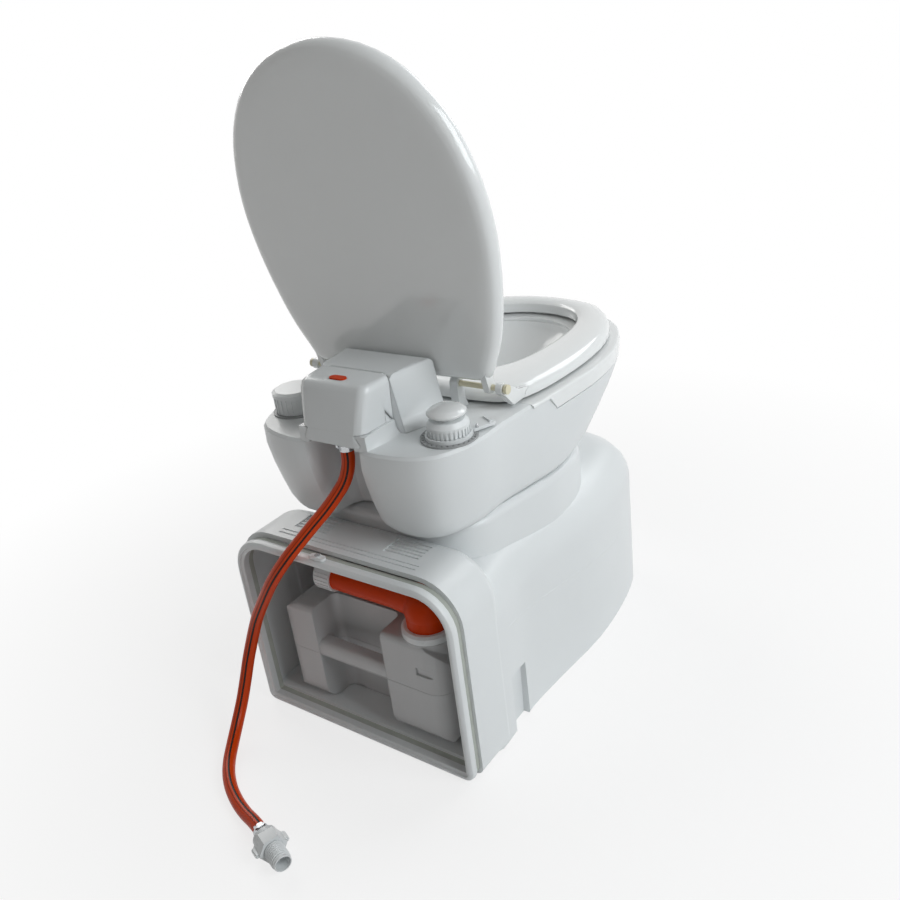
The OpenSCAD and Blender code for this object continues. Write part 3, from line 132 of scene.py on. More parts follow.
class ToiletStudio(bpy.types.PropertyGroup):
    """The camera, the lamps and the floor."""

    camera_place: bpy.props.FloatVectorProperty(
        name="Camera", description="Where the camera stands", size=3, subtype="TRANSLATION",
        unit="LENGTH", default=(-0.777, 1.026, 0.926),
    )
    camera_yaw: angle_choice("Yaw", 217.95, "Turn of the view round the upright")
    camera_pitch: angle_choice("Pitch", 25.17, "How far the camera looks down")
    camera_roll: angle_choice("Roll", -7.53, "Turn of the picture")
    focal_pixels: bpy.props.FloatProperty(
        name="Focal length in pixels", description="Focal length in pixels of the square picture",
        default=918.91, min=1,
    )
    key_power: amount_choice("Key lamp", 43.0, "Power of the large lamp on the right", "POWER")
    fill_power: amount_choice("Fill lamp", 1.2, "Power of the lamp over the back", "POWER")
    front_power: amount_choice("Front lamp", 22.0, "Power of the lamp before the bowl", "POWER")
    side_power: amount_choice("Side lamp", 26.0, "Power of the lamp on the left", "POWER")
    world_level: amount_choice("World", 0.175, "Level of the light from all round")
    floor_colour: colour_choice("Floor", "#f2f2f2", "Pale floor")


# Shader maths, written as plain sums


class Value:
    """A socket in a node tree that takes part in sums."""

    def __init__(self, nodes, socket):
        self.nodes = nodes
        self.socket = socket

    def __add__(self, other):
        return self.nodes.sum("ADD", self, other)

    def __sub__(self, other):
        return self.nodes.sum("SUBTRACT", self, other)

    def __rsub__(self, other):
        return self.nodes.sum("SUBTRACT", other, self)

    def __mul__(self, other):
        return self.nodes.sum("MULTIPLY", self, other)

    def __lt__(self, other):
        return self.nodes.sum("LESS_THAN", self, other)

    def __gt__(self, other):
        return self.nodes.sum("GREATER_THAN", self, other)

    def __abs__(self):
        return self.nodes.sum("ABSOLUTE", self)

    __radd__ = __add__
    __rmul__ = __mul__


class Nodes:
    """A tree of shader or geometry nodes, emptied first."""

    def __init__(self, tree):
        self.tree = tree
        self.tree.nodes.clear()

    def node(self, kind, settings=None, sockets=None, output=0):
        """Adds a node: its settings first, then its sockets by name or number. Gives an output."""
        made = self.tree.nodes.new(kind)
        for key, value in (settings or {}).items():
            if key == "stops":
                self.set_stops(made.color_ramp, value)
            else:
                setattr(made, key, value)
        for key, value in (sockets or {}).items():
            self.plug(made.inputs[key], value)
        return Value(self, made.outputs[output]) if made.outputs else None

    def plug(self, socket, value):
        """Links a value to a socket, or sets the socket to a number or a colour."""
        if isinstance(value, Value):
            self.tree.links.new(value.socket, socket)
        elif hasattr(value, "__len__") and len(value) == 3 and socket.type == "RGBA":
            socket.default_value = (*value, 1)
        else:
            socket.default_value = value

    def set_stops(self, ramp, stops):
        """Gives a ramp its stops, each a place and a level of grey."""
        while len(ramp.elements) < len(stops):
            ramp.elements.new(0.5)
        for element, (place, level) in zip(ramp.elements, stops):
            element.position = place
            element.color = (level, level, level, 1)

    def sum(self, operation, *terms):
        """A sum of any kind, as one Math node."""
        return self.node("ShaderNodeMath", {"operation": operation}, dict(enumerate(terms)))

    def place(self):
        """Where the point is on its own object, in metres."""
        return self.node("ShaderNodeTexCoord", output="Object")

    def stretched(self, scale):
        """That place, with each axis scaled, so that a texture is drawn out along one of them."""
        return self.node(
            "ShaderNodeVectorMath", {"operation": "MULTIPLY"}, {0: self.place(), 1: scale}
        )

    def noise(self, scale, detail=2.0, roughness=0.5, vector=None):
        return self.node("ShaderNodeTexNoise", None, {
            "Vector": vector or self.place(), "Scale": scale, "Detail": detail,
            "Roughness": roughness,
        })

    def ramp(self, value, stops):
        return self.node("ShaderNodeValToRGB", {"stops": stops}, {0: value})

    def mix(self, share, first, second):
        return self.node(
            "ShaderNodeMix", {"data_type": "RGBA"}, {"Factor": share, 6: first, 7: second}, 2
        )

    def bump(self, height, distance, strength=1.0, rounding=0.0):
        """Relief over the surface, on edges that look rounded by that radius."""
        sockets = {"Height": height, "Distance": distance, "Strength": strength}
        if rounding:
            sockets["Normal"] = self.node("ShaderNodeBevel", {"samples": 4}, {"Radius": rounding})
        return self.node("ShaderNodeBump", None, sockets)


class Finish(Nodes):
    """One material with its surface."""

    def __init__(self, name):
        self.material = bpy.data.materials.new(name)
        self.material.use_nodes = True
        super().__init__(self.material.node_tree)
        self.surface = self.tree.nodes.new("ShaderNodeBsdfPrincipled")
        self.end = self.tree.nodes.new("ShaderNodeOutputMaterial")
        self.tree.links.new(self.surface.outputs[0], self.end.inputs["Surface"])

    def finish(self, **sockets):
        """Sets the surface's own sockets, named with _ for a space."""
        for key, value in sockets.items():
            self.plug(self.surface.inputs[key.replace("_", " ")], value)
        return self.material


def shade(colour, level):
    """The colour, lighter or darker."""
    return tuple(min(1.0, c * level) for c in colour)


def satin_plastic(name, colour, grain, roughness=0.36, depth=0.00003, rounding=0.0012):
    """Injection moulded plastic with a fine grain, slow changes of tone and faint rubbed places."""
    f = Finish(name)
    broad = f.noise(5.0, 3.0)
    rubbed = f.ramp(f.noise(22.0, 5.0, 0.65), [(0.55, 0.0), (0.8, 1.0)])
    fine = f.noise(1 / grain, 1.0)
    toned = f.mix(broad, shade(colour, 0.955), shade(colour, 1.03))
    dust = f.ramp(f.noise(60.0, 6.0, 0.7), [(0.62, 0.0), (0.85, 1.0)])
    return f.finish(
        Base_Color=f.mix(dust * 0.12, toned, shade(colour, 0.86)),
        Roughness=roughness + (broad - 0.5) * 0.1 - rubbed * 0.07,
        Normal=f.bump(fine + f.noise(0.18 / grain, 2.0) * 1.5, depth, 0.7, rounding),
        IOR=1.5,
    )


def gloss_plastic(name, colour, roughness=0.16, specular=0.5, coat=0.45):
    """Polished plastic: a soft ripple from the mould, hairline scratches and a clear coat."""
    f = Finish(name)
    ripple = f.noise(26.0, 1.0)
    hairs = f.noise(90.0, 6.0, 0.8, f.stretched((1.0, 0.08, 1.0)))
    scratched = f.ramp(hairs, [(0.6, 0.0), (0.75, 1.0)])
    toned = f.mix(f.noise(4.0, 2.0), shade(colour, 0.975), shade(colour, 1.02))
    return f.finish(
        Base_Color=toned,
        Roughness=roughness + scratched * 0.05,
        Specular_IOR_Level=specular,
        Coat_Weight=coat,
        Coat_Roughness=0.06,
        Normal=f.bump(ripple + scratched * 0.05, 0.00025, 0.35, 0.001),
        IOR=1.5,
    )


def blown_plastic(name, colour):
    """The tank's blown polyethylene: waxy, with a pebbled skin and flow lines."""
    f = Finish(name)
    pebble = f.noise(420.0, 2.0)
    flow = f.noise(9.0, 4.0, 0.6, f.stretched((1.0, 1.0, 0.35)))
    toned = f.mix(flow, shade(colour, 0.9), shade(colour, 1.05))
    stain = f.ramp(f.noise(14.0, 4.0, 0.6), [(0.55, 0.0), (0.9, 1.0)])
    return f.finish(
        Base_Color=f.mix(stain * 0.16, toned, shade(colour, 0.78)),
        Roughness=0.4 + (flow - 0.5) * 0.16,
        Normal=f.bump(pebble * 0.5 + flow * 3, 0.00012, 0.6, 0.003),
        IOR=1.5,
    )


def rubber(name, colour, roughness=0.68):
    """Moulded rubber with a dusty bloom."""
    f = Finish(name)
    bloom = f.ramp(f.noise(70.0, 4.0, 0.6), [(0.45, 0.0), (0.75, 1.0)])
    return f.finish(
        Base_Color=f.mix(bloom * 0.35, colour, shade(colour, 1.35)),
        Roughness=roughness + bloom * 0.1,
        Normal=f.bump(f.noise(900.0, 1.0), 0.00004, 0.7),
    )


def metal(name, colour, roughness=0.28, brushed=(40.0, 900.0, 900.0)):
    """Drawn metal with brushing along one way and darker spots."""
    f = Finish(name)
    lines = f.noise(1.0, 3.0, 0.6, f.stretched(brushed))
    spots = f.ramp(f.noise(220.0, 3.0), [(0.55, 0.0), (0.8, 1.0)])
    return f.finish(
        Base_Color=f.mix(spots * 0.4, colour, shade(colour, 0.62)),
        Metallic=1.0,
        Roughness=roughness + (lines - 0.5) * 0.18 + spots * 0.1,
        Normal=f.bump(lines, 0.00002, 0.5),
    )


# The UV map that runs along the hose and once round it
HOSE_MAP = "hose_skin"


def hose_skin(name, colour, stripe, half_width):
    """Soft extruded hose: fine streaks, one worn stripe along it and a groove beside the stripe,
    darkened with painted shade.
    """
    f = Finish(name)
    unrolled = f.node("ShaderNodeUVMap", {"uv_map": HOSE_MAP})
    along, across = (f.node("ShaderNodeSeparateXYZ", None, {0: unrolled}, n) for n in (0, 1))
    wander = (f.noise(16.0, 2.0) - 0.5) * half_width * 0.6
    inside = abs(across - 0.5 + wander) < half_width
    groove = abs(across - 0.5 + wander - half_width * 3.4) < half_width * 0.55
    worn = f.ramp(f.noise(500.0, 3.0, 0.7), [(0.62, 1.0), (0.74, 0.0)])
    toned = f.mix(f.noise(11.0, 3.0), shade(colour, 0.86), shade(colour, 1.08))
    streaks = f.noise(1.0, 3.0, 0.6, f.node(
        "ShaderNodeCombineXYZ", None, {0: along * 3.0, 1: across * 40.0}
    ))
    # Painted shade: the groove's colour is darkened as if shade fell into it
    groove_painted_shade = f.mix(groove * 0.6, toned, shade(colour, 0.25))
    return f.finish(
        Base_Color=f.mix(inside * worn, groove_painted_shade, stripe),
        Roughness=0.3 + streaks * 0.14,
        Specular_IOR_Level=0.1,
        Coat_Weight=0.12,
        Coat_Roughness=0.15,
        Normal=f.bump(streaks + inside * 0.4 - groove * 0.8, 0.00018, 0.5),
        IOR=1.5,
    )


# The materials, once make_finishes has made them
FINISHES = {}


def make_finishes(scene):
    """Makes every finish in the user's colours."""
    c, sizes = scene.toilet_colours, scene.toilet_sizes
    grain = sizes.grain
    FINISHES.update(
        shell=satin_plastic("satin_white", c.shell, grain),
        base=satin_plastic("base_white", c.shell, grain, 0.36, rounding=0),
        box=satin_plastic("box_white", c.shell, grain * 0.7, 0.24, 0.00001, 0.0016),
        fine=satin_plastic("fine_white", shade(c.shell, 1.04), grain * 0.6, 0.3, 0.00001, 0.0004),
        gloss=gloss_plastic("gloss_white", c.gloss),
        tank=blown_plastic("blown_tank", c.tank),
        orange=gloss_plastic("orange_moulding", c.orange, 0.34, 0.1, 0.0),
        gasket=rubber("gasket", c.gasket, 0.6),
        rubber=rubber("dark_rubber", c.rubber),
        cream=gloss_plastic("cream_moulding", c.cream, 0.28),
        grey=satin_plastic("grey_moulding", c.grey, grain * 0.8, 0.45),
        steel=metal("clamp_steel", c.steel),
        brass=metal("brass", c.brass, 0.34),
        hose=hose_skin(
            "striped_hose", c.hose, c.stripe,
            sizes.stripe_width / (2 * math.pi * sizes.hose_diameter),
        ),
    )


# The finish of each node of the CAD model
NODE_FINISH = {
    "base": ("base_housing", "base_floor", "pedestal", "mouth_collar"),
    "shell": (
        "upper_housing", "service_core", "inlet_bracket", "service_cover", "mouth_frame",
        "tank_latch", "hinge_brackets",
    ),
    "fine": (
        "pump_collar", "valve_lever", "filler_cap", "spout_cap", "spout_collar", "inlet_collar",
        "hose_connector", "connector_nut",
    ),
    "gloss": ("seat", "seat_arms", "lid", "lid_lugs", "bowl", "bowl_rim", "pump_knob"),
    "tank": ("waste_tank",),
    "orange": ("pour_spout", "cover_button"),
    "gasket": ("mouth_gasket",),
    "rubber": ("outlet_seal", "spout_cap_seal", "filler_seal", "seat_bumpers", "lid_bumpers"),
    "cream": ("hinge_rods", "rod_caps"),
    "grey": (
        "slot_ring", "valve_blade", "drop_pipe", "flush_nozzle", "flush_pipe", "pump_barrel",
        "pump_piston", "filler_neck",
    ),
    "steel": (
        "latch_pin", "hold_down_screws", "hold_down_nuts", "lever_pin", "spigot_clamp",
        "connector_clamp",
    ),
    "brass": ("hose_spigot",),
    "hose": ("hose",),
}
# Edges that turn less than this, in degrees, are shaded smooth; other nodes take SMOOTH_ELSE
SMOOTH_BELOW = dict.fromkeys((
    "base_housing", "pedestal", "mouth_collar", "upper_housing", "bowl", "bowl_rim", "seat",
    "seat_arms", "lid", "lid_lugs", "mouth_frame",
), 34) | {"service_cover": 56, "service_core": 52, "pour_spout": 45}
SMOOTH_ELSE = 28


# Ways of making meshes


def smoothing_nodes(angle):
    """A node group that welds a mesh and shades it smooth, but for edges that turn more."""
    name = "smooth_below_%d" % round(math.degrees(angle))
    if name in bpy.data.node_groups:
        return bpy.data.node_groups[name]
    group = bpy.data.node_groups.new(name, "GeometryNodeTree")
    for way in ("INPUT", "OUTPUT"):
        group.interface.new_socket("Geometry", in_out=way, socket_type="NodeSocketGeometry")
    f = Nodes(group)
    welded = f.node("GeometryNodeMergeByDistance", None, {
        "Geometry": f.node("NodeGroupInput"), "Distance": WELD
    })
    smooth = f.node("GeometryNodeSetShadeSmooth", None, {"Geometry": welded})
    turn = f.node("GeometryNodeInputMeshEdgeAngle")
    sharp = f.node("FunctionNodeCompare", {"operation": "GREATER_THAN"}, {0: turn, 1: angle})
    edged = f.node("GeometryNodeSetShadeSmooth", {"domain": "EDGE"}, {
        "Geometry": smooth, "Selection": sharp, "Shade Smooth": False
    })
    f.node("NodeGroupOutput", None, {0: edged})
    return group


def smoothed(piece, degrees):
    """Welds and smooths a piece by modifiers alone, so its own points stay as they are."""
    normals = piece.data.attributes.get("custom_normal")
    if normals:
        piece.data.attributes.remove(normals)
    step = piece.modifiers.new("smooth", "NODES")
    step.node_group = smoothing_nodes(math.radians(degrees))
    weigh = piece.modifiers.new("weigh", "WEIGHTED_NORMAL")
    weigh.keep_sharp = True
    weigh.weight = 80


def body_of_node(node):
    """The body that the CAD model's node rides on."""
    return frame["nodes"][node]["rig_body"]


def piece_from(name, points, faces, finish, body, smooth=40):
    """A new piece with a finish that rides on a body."""
    mesh = bpy.data.meshes.new(name)
    mesh.from_pydata([tuple(p) for p in points], [], faces)
    mesh.validate()
    piece = bpy.data.objects.new(name, mesh)
    bpy.context.scene.collection.objects.link(piece)
    mesh.materials.append(FINISHES[finish])
    smoothed(piece, smooth)
    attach(piece, body)
    return piece


def emptied(bm):
    """The points and faces of an edit mesh, which is freed."""
    bm.verts.index_update()
    made = [tuple(v.co) for v in bm.verts], [tuple(v.index for v in f.verts) for f in bm.faces]
    bm.free()
    return made


def in_order(points, faces):
    """The same, sorted, because a bevel gives points and faces in another order each time."""
    order = sorted(range(len(points)), key=lambda i: points[i])
    rank = {old: new for new, old in enumerate(order)}
    return [points[i] for i in order], sorted(tuple(rank[i] for i in face) for face in faces)


def in_place_of(node, name, finish, points, faces, smooth=40):
    """A new piece that takes the place of a node and rides on its body."""
    piece = piece_from(name, points, faces, finish, body_of_node(node), smooth)
    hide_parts(node)
    return piece


# Faces that turn less than the first are one face, and edges that turn more than the second
# are rounded in so many steps
FLAT_TURN, SHARP_TURN = math.radians(0.6), math.radians(38)
ROUNDING_STEPS = 3


def softened(node, name, finish, radius):
    """A piece in place of a node: its own form, with flat faces joined and outer edges rounded."""
    source = frame["nodes"][node]
    bm = bmesh.new()
    bm.from_mesh(source.data)
    bm.transform(source.matrix_world)
    bmesh.ops.remove_doubles(bm, verts=bm.verts[:], dist=WELD)
    bmesh.ops.dissolve_limit(bm, angle_limit=FLAT_TURN, verts=bm.verts[:], edges=bm.edges[:])
    outer = [
        e for e in bm.edges if e.is_manifold and abs(e.calc_face_angle()) > SHARP_TURN
        and e.calc_length() > radius * 0.2
    ]
    bmesh.ops.bevel(
        bm, geom=outer, offset=radius, segments=ROUNDING_STEPS, profile=0.5, affect="EDGES",
        clamp_overlap=True,
    )
    bmesh.ops.triangulate(bm, faces=[f for f in bm.faces if len(f.verts) > 4])
    return in_place_of(node, name, finish, *in_order(*emptied(bm)))


def between(first, second, count):
    """Faces between two closed rows of points, each named by its first point's number."""
    return [
        (first + k, first + (k + 1) % count, second + (k + 1) % count, second + k)
        for k in range(count)
    ]


def spline(points, steps):
    """Points of a smooth curve through the given ones."""
    p = [Vector(q) for q in points]
    out = []
    for i in range(len(p) - 1):
        a, b, c, d = p[max(i - 1, 0)], p[i], p[i + 1], p[min(i + 2, len(p) - 1)]
        for j in range(steps):
            t = j / steps
            out.append(0.5 * (
                2 * b + (c - a) * t + (2 * a - 5 * b + 4 * c - d) * t * t
                + (3 * b - a - 3 * c + d) * t ** 3
            ))
    return out + [p[-1]]


def carried_frames(path, start):
    """Each point with two directions across the path, carried along without twisting."""
    frames, side = [], Vector(start)
    for i, p in enumerate(path):
        along = (path[min(i + 1, len(path) - 1)] - path[max(i - 1, 0)]).normalized()
        side = (side - side.dot(along) * along).normalized()
        frames.append((p, side.copy(), along.cross(side)))
    return frames


# Pieces


# In millimetres: the deck's height, the joint between the service box's halves, half the width
# of its cover, and the step where the deck ends behind it
DECK_Z, COVER_Y, COVER_W, STEP_Y = 450.0, 208.3, 57.0, 269.5


def eased(value, low, high):
    """From 0 below low to 1 above high, with soft ends."""
    t = min(1.0, max(0.0, (value - low) / (high - low)))
    return t * t * (3 - 2 * t)


def reshaped(node, name, finish, change):
    """A piece in place of a node: its own mesh, each point carried by change in millimetres."""
    source = frame["nodes"][node].data
    points = [Vector(change(*(v.co / MM))) * MM for v in source.vertices]
    faces = [tuple(f.vertices) for f in source.polygons]
    piece = in_place_of(node, name, finish, points, faces, SMOOTH_BELOW[node])


# How far the inner corner of each back lobe comes nearer the hose, and where that sets in and
# ends: toward the back, out from the notch and on the notch's own walls
LOBE_REACH = {-1: 17.0, 1: 9.0}
LOBE_BACK, LOBE_OUT, LOBE_WALL = (205, 258), (58, 118), (22, 40)


def lobe_point(x, y, z):
    """Brings the inner corners of the back lobes up to the hose."""
    side = -1 if x < 0 else 1
    out = abs(x)
    share = eased(y, *LOBE_BACK) * (1 - eased(out, *LOBE_OUT)) * eased(out, *LOBE_WALL)
    return x - side * LOBE_REACH[side] * share, y, z


# The service box's upright height, over which it widens by BOX_DRAFT, and the sweep at its foot
BOX_RISE, BOX_DRAFT, FOOT_RISE, FOOT_REACH = 66, 3, 19, 17.0
# How much wider the fixed half gets for each millimetre toward the seat
BOX_SPLAY = 0.42


def box_reach(y, z):
    """Half the width of the service box, flush with its cover at the joint."""
    upright = COVER_W - BOX_DRAFT + BOX_DRAFT * eased(z, DECK_Z, DECK_Z + BOX_RISE)
    foot = FOOT_REACH * max(0.0, 1 - (z - DECK_Z) / FOOT_RISE) ** 2
    return upright + foot + max(0.0, COVER_Y - y) * BOX_SPLAY


# The fixed half's upper edge: its height and half width, with the square of its rounding, and
# the lines and the half width past which its top and its sides are drawn in
EDGE_Z, EDGE_X, EDGE_SQUARE = 519.8, 64.5, 96
TOP_Y, SIDE_Y, SIDE_X = 198, 150, 40
# The cover's bevel lies in front of this line and above this height, and ends at the joint
BEVEL_Y, BEVEL_Z, BEVEL_END = 219, 500, COVER_Y + 0.3


def core_point(x, y, z):
    """Draws the fixed half of the box in to the outline of its cover."""
    past = max(0.0, abs(x) - EDGE_X)
    if y > TOP_Y and z > EDGE_Z:
        z = EDGE_Z + math.sqrt(max(0.0, EDGE_SQUARE - past * past))
    if y > SIDE_Y and abs(x) > SIDE_X:
        x = math.copysign(min(abs(x), box_reach(y, z)), x)
    return x, y, z


def cover_point(x, y, z):
    """Closes the bevel of the cover where it meets the fixed half."""
    if y < BEVEL_Y and z > BEVEL_Z:
        y = min(y, BEVEL_END)
    return x, y, z


def make_box():
    """The flush tank's housing and the service box, with its cover flush on the fixed half."""
    reshaped("upper_housing", "flush_tank_housing", "shell", lobe_point)
    reshaped("service_core", "service_box_core", "box", core_point)
    reshaped("service_cover", "service_box_cover", "box", cover_point)


# The cheeks: heights over the deck of their upper and lower ends, the inner face on each side,
# how many steps they take along the notch, and their outside, as reach in millimetres at a share
# of the height
CHEEK_TOP, CHEEK_FOOT = 18.6, -3.0
CHEEK_INNER = {-1: 35.5, 1: 41.5}
CHEEK_STEPS = 14
CHEEK_FLARE = [
    (0.0, 1.0), (0.3, 0.85), (0.8, 0.7), (1.6, 0.55), (2.9, 0.4), (4.8, 0.27), (7.4, 0.16),
    (10.8, 0.07), (14.6, 0.02), (19.0, 0.0),
]
# The cheeks lean out so far over this length, and lose this share of their flare at the end
LEAN, LEAN_OVER, FLARE_LOST = 3.0, 40, 0.9
# The tabs inside the cover, between these distances from the middle and between these heights
TAB_INNER, TAB_OUTER, TAB_LOW, TAB_HIGH = 50.6, 53.6, 462, 486


def cheek(side):
    """Points and faces of one cheek beside the notch, which flares down to the deck."""
    inner, points, faces = CHEEK_INNER[side], [], []
    for i in range(CHEEK_STEPS + 1):
        y = COVER_Y + (STEP_Y - COVER_Y) * i / CHEEK_STEPS
        kept = 1 - eased(y, STEP_Y - 34, STEP_Y + 4) * FLARE_LOST
        lean = LEAN * eased(STEP_Y - y, 0, LEAN_OVER)
        row = [
            (inner + lean, CHEEK_FOOT), (inner + lean, CHEEK_TOP - 1),
            (inner + lean + 1, CHEEK_TOP),
        ]
        row += [
            (COVER_W - 0.6 + reach * kept, CHEEK_FOOT + (CHEEK_TOP - CHEEK_FOOT) * level)
            for reach, level in CHEEK_FLARE
        ]
        points += [(side * x, y, DECK_Z + z) for x, z in row]
    width = len(row)
    for i in range(CHEEK_STEPS):
        strip = between(i * width, (i + 1) * width, width)
        faces += strip if side < 0 else [face[::-1] for face in strip]
    first = tuple(range(width))
    last = tuple(CHEEK_STEPS * width + k for k in first)
    faces += [first[::-1], last] if side < 0 else [first, last[::-1]]
    return points, faces


def make_cheeks():
    """The cheeks beside the notch and the tabs inside the cover, as one piece."""
    parts = []
    for side in (-1, 1):
        parts.append(cheek(side))
        near, far = sorted((side * TAB_INNER, side * TAB_OUTER))
        low, high = (near, COVER_Y + 0.2, TAB_LOW), (far, COVER_Y + 14, TAB_HIGH)
        parts.append(block(low, high, 0.4))
    points, faces = joined(*parts)
    cheeks = piece_from("cover_cheeks", [Vector(q) * MM for q in points], faces, "box", "unit", 62)


# Half the height of a parting line and how deep its edges sit in the surface
SEAM_RISE, SEAM_SINK = 0.45, 0.1


def seam_runs(bm, height, normal, low, high):
    """The ends of each edge where a plane cuts the outside of a part, with the way out there."""
    cut = bmesh.ops.bisect_plane(
        bm, geom=bm.verts[:] + bm.edges[:] + bm.faces[:], dist=0.0000001,
        plane_co=Vector((0, 0, height)) * MM, plane_no=normal,
    )
    for e in cut["geom_cut"]:
        if not isinstance(e, bmesh.types.BMEdge) or not e.link_faces:
            continue
        out = sum((f.normal for f in e.link_faces), Vector()).normalized()
        middle = (e.verts[0].co + e.verts[1].co) / 2 / MM
        outside = out.dot(Vector((middle.x, middle.y, 0))) >= 0
        if outside and all(low[i] <= middle[i] <= high[i] for i in (0, 1)):
            yield [
                (v.co.copy(), sum((f.normal for f in v.link_faces), Vector()).normalized())
                for v in e.verts
            ]


def make_seam(name, node, finish, height, slope, low, high):
    """A parting line: a fine rib where a sloping plane cuts the outside of a part."""
    bm = bmesh.new()
    bm.from_mesh(frame["nodes"][node].data)
    bmesh.ops.remove_doubles(bm, verts=bm.verts[:], dist=WELD)
    normal = Vector((0, -slope, 1)).normalized()
    points, faces = [], []
    for ends in seam_runs(bm, height, normal, low, high):
        base = len(points)
        for co, lean in ends:
            up, sunk = normal * SEAM_RISE * MM, lean * SEAM_SINK * MM
            points += [co - up - sunk, co + lean * SEAM_RISE * 0.7 * MM, co + up - sunk]
        faces += [
            (base, base + 3, base + 4, base + 1), (base + 1, base + 4, base + 5, base + 2),
            (base, base + 2, base + 5, base + 3),
        ]
    bm.free()
    return piece_from(name, points, faces, finish, body_of_node(node), 60)


# The hose's centreline in millimetres, from the stub under the service box to its other end
HOSE_ROUTE = [
    (-10, 256, 452), (-10, 256, 438), (-9.5, 257, 423), (-7, 260, 408), (-2, 265.5, 393),
    (7, 274.5, 377), (18.5, 286, 359.5), (32.5, 300, 341), (47.5, 314.5, 321), (63.5, 327, 300),
    (81, 335, 277), (99, 338, 253), (116, 338, 229), (132, 337.5, 206), (147, 337.5, 183),
    (160, 338.5, 158), (170, 343, 131), (176, 351.5, 104), (177.5, 364, 76), (175, 381, 50),
    (168, 404, 28), (156, 428, 15), (140, 451, 9.8), (120, 471, 9.3), (96, 488, 9.3),
    (70, 501, 9.3), (44, 510.5, 11), (22, 517, 15), (2, 523.8, 18.3), (-12, 529, 18.3),
]
HOSE_WALL, BORE_DEPTH = 2.75 * MM, 0.012
HOSE_STEPS, HOSE_SIDES = 6, 24
# The turn that puts the stripe on the side where it leaves the box in the photograph
STRIPE_TURN = -0.144
# How many units of the hose's map go to a metre of its length
MAP_PER_METRE = 10


def hose_ring(centre, radius, side, cross):
    """One row of points round the hose's centreline."""
    turns = [2 * math.pi * k / HOSE_SIDES for k in range(HOSE_SIDES)]
    return [centre + radius * (math.cos(a) * side + math.sin(a) * cross) for a in turns]


def hose_mesh(path, radius):
    """Points and faces of a tube with a flat rim and a short open bore at both ends."""
    bore, sides = radius - HOSE_WALL, HOSE_SIDES
    frames = carried_frames(path, (1, 0, 0))
    rows = [(path[0], bore)] + [(p, radius) for p in path] + [(path[-1], bore)]
    points, faces = [], []
    for (centre, r), (_, side, cross) in zip(rows, [frames[0]] + frames + [frames[-1]]):
        points += hose_ring(centre, r, side, cross)
    for i in range(len(rows) - 1):
        faces += between(i * sides, (i + 1) * sides, sides)
    inner, last = len(points), (len(rows) - 1) * sides
    for end, next_to_it in ((0, 1), (-1, -2)):
        inward = BORE_DEPTH * (path[next_to_it] - path[end]).normalized()
        points += hose_ring(path[end] + inward, bore, *frames[end][1:])
    for k in range(sides):
        n = (k + 1) % sides
        faces.append((k, inner + k, inner + n, n))
        faces.append((last + n, inner + sides + n, inner + sides + k, last + k))
    faces.append(tuple(inner + k for k in range(sides)))
    faces.append(tuple(inner + sides + k for k in reversed(range(sides))))
    return points, faces


def map_hose(hose, reach):
    """Lays the hose's faces out in its map: along it by reach, and once round it."""
    sides = HOSE_SIDES
    layer = hose.data.uv_layers.new(name=HOSE_MAP)
    along = [reach[0]] + reach + [reach[-1]]
    for face in hose.data.polygons:
        places = [hose.data.loops[i].vertex_index % sides for i in face.loop_indices]
        wraps = max(places) - min(places) > sides / 2
        for i in face.loop_indices:
            row, k = divmod(hose.data.loops[i].vertex_index, sides)
            turn = (k + (sides if wraps and k < sides / 2 else 0)) / sides
            row = min(row, len(along) - 1)
            layer.data[i].uv = (along[row] * MAP_PER_METRE, turn + STRIPE_TURN)


def make_hose(scene):
    """The orange hose, as one tube along its route, with its stripe in a UV map."""
    diameter = scene.toilet_sizes.hose_diameter
    route = [Vector(p) * MM for p in HOSE_ROUTE]
    path = spline(route, HOSE_STEPS)
    reach = [0.0]
    for a, b in zip(path, path[1:]):
        reach.append(reach[-1] + (b - a).length)
    hose = piece_from("water_hose", *hose_mesh(path, diameter / 2), "hose", "unit", 50)
    map_hose(hose, reach)
    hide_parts("hose")


# Where the connector lies: at the hose's end, turned this far round the upright
HOSE_END = Vector(HOSE_ROUTE[-1]) * MM
HOSE_YAW = math.radians(159.5)
# In millimetres: the thread's radius, and where the nut starts and how long it is
THREAD_R, NUT_Z, NUT_H = 13.2, 8.0, 20.0
# How far each clamp stands back from the end of the hose that it holds
UPPER_BACK, LOWER_BACK = 13, 12


def at_hose_end(points):
    """Points drawn upright, in millimetres, laid down at the end of the hose."""
    turn = Matrix.Rotation(HOSE_YAW, 4, "Z") @ Matrix.Rotation(math.radians(90), 4, "Y")
    return [Matrix.Translation(HOSE_END) @ turn @ (Vector(p) * MM) for p in points]


def at_exit(points):
    """Points drawn upright, in millimetres, set round the upper end of the hose."""
    base = Vector(HOSE_ROUTE[0]) - Vector((0, 0, UPPER_BACK))
    return [(base + Vector(p)) * MM for p in points]


def near_hose_end(points):
    """The same at its other end, where the lower clamp goes."""
    return at_hose_end([(x, y, z - LOWER_BACK) for x, y, z in points])


def on_circle(r, a, z):
    """The point at a distance from the upright, at an angle and at a height."""
    return (r * math.cos(a), r * math.sin(a), z)


def rings(profile, sides, closed=True, shape=None):
    """Points and faces of a profile of (radius, height) turned round the upright.

    A shape gives the radius at each point from the profile's radius, the height and the angle.
    """
    points, faces = [], []
    for r, z in profile:
        for k in range(sides):
            a = 2 * math.pi * k / sides
            points.append(on_circle(shape(r, z, a) if shape else r, a, z))
    count = len(profile)
    for i in range(count if closed else count - 1):
        faces += between(i * sides, (i + 1) % count * sides, sides)
    return points, faces


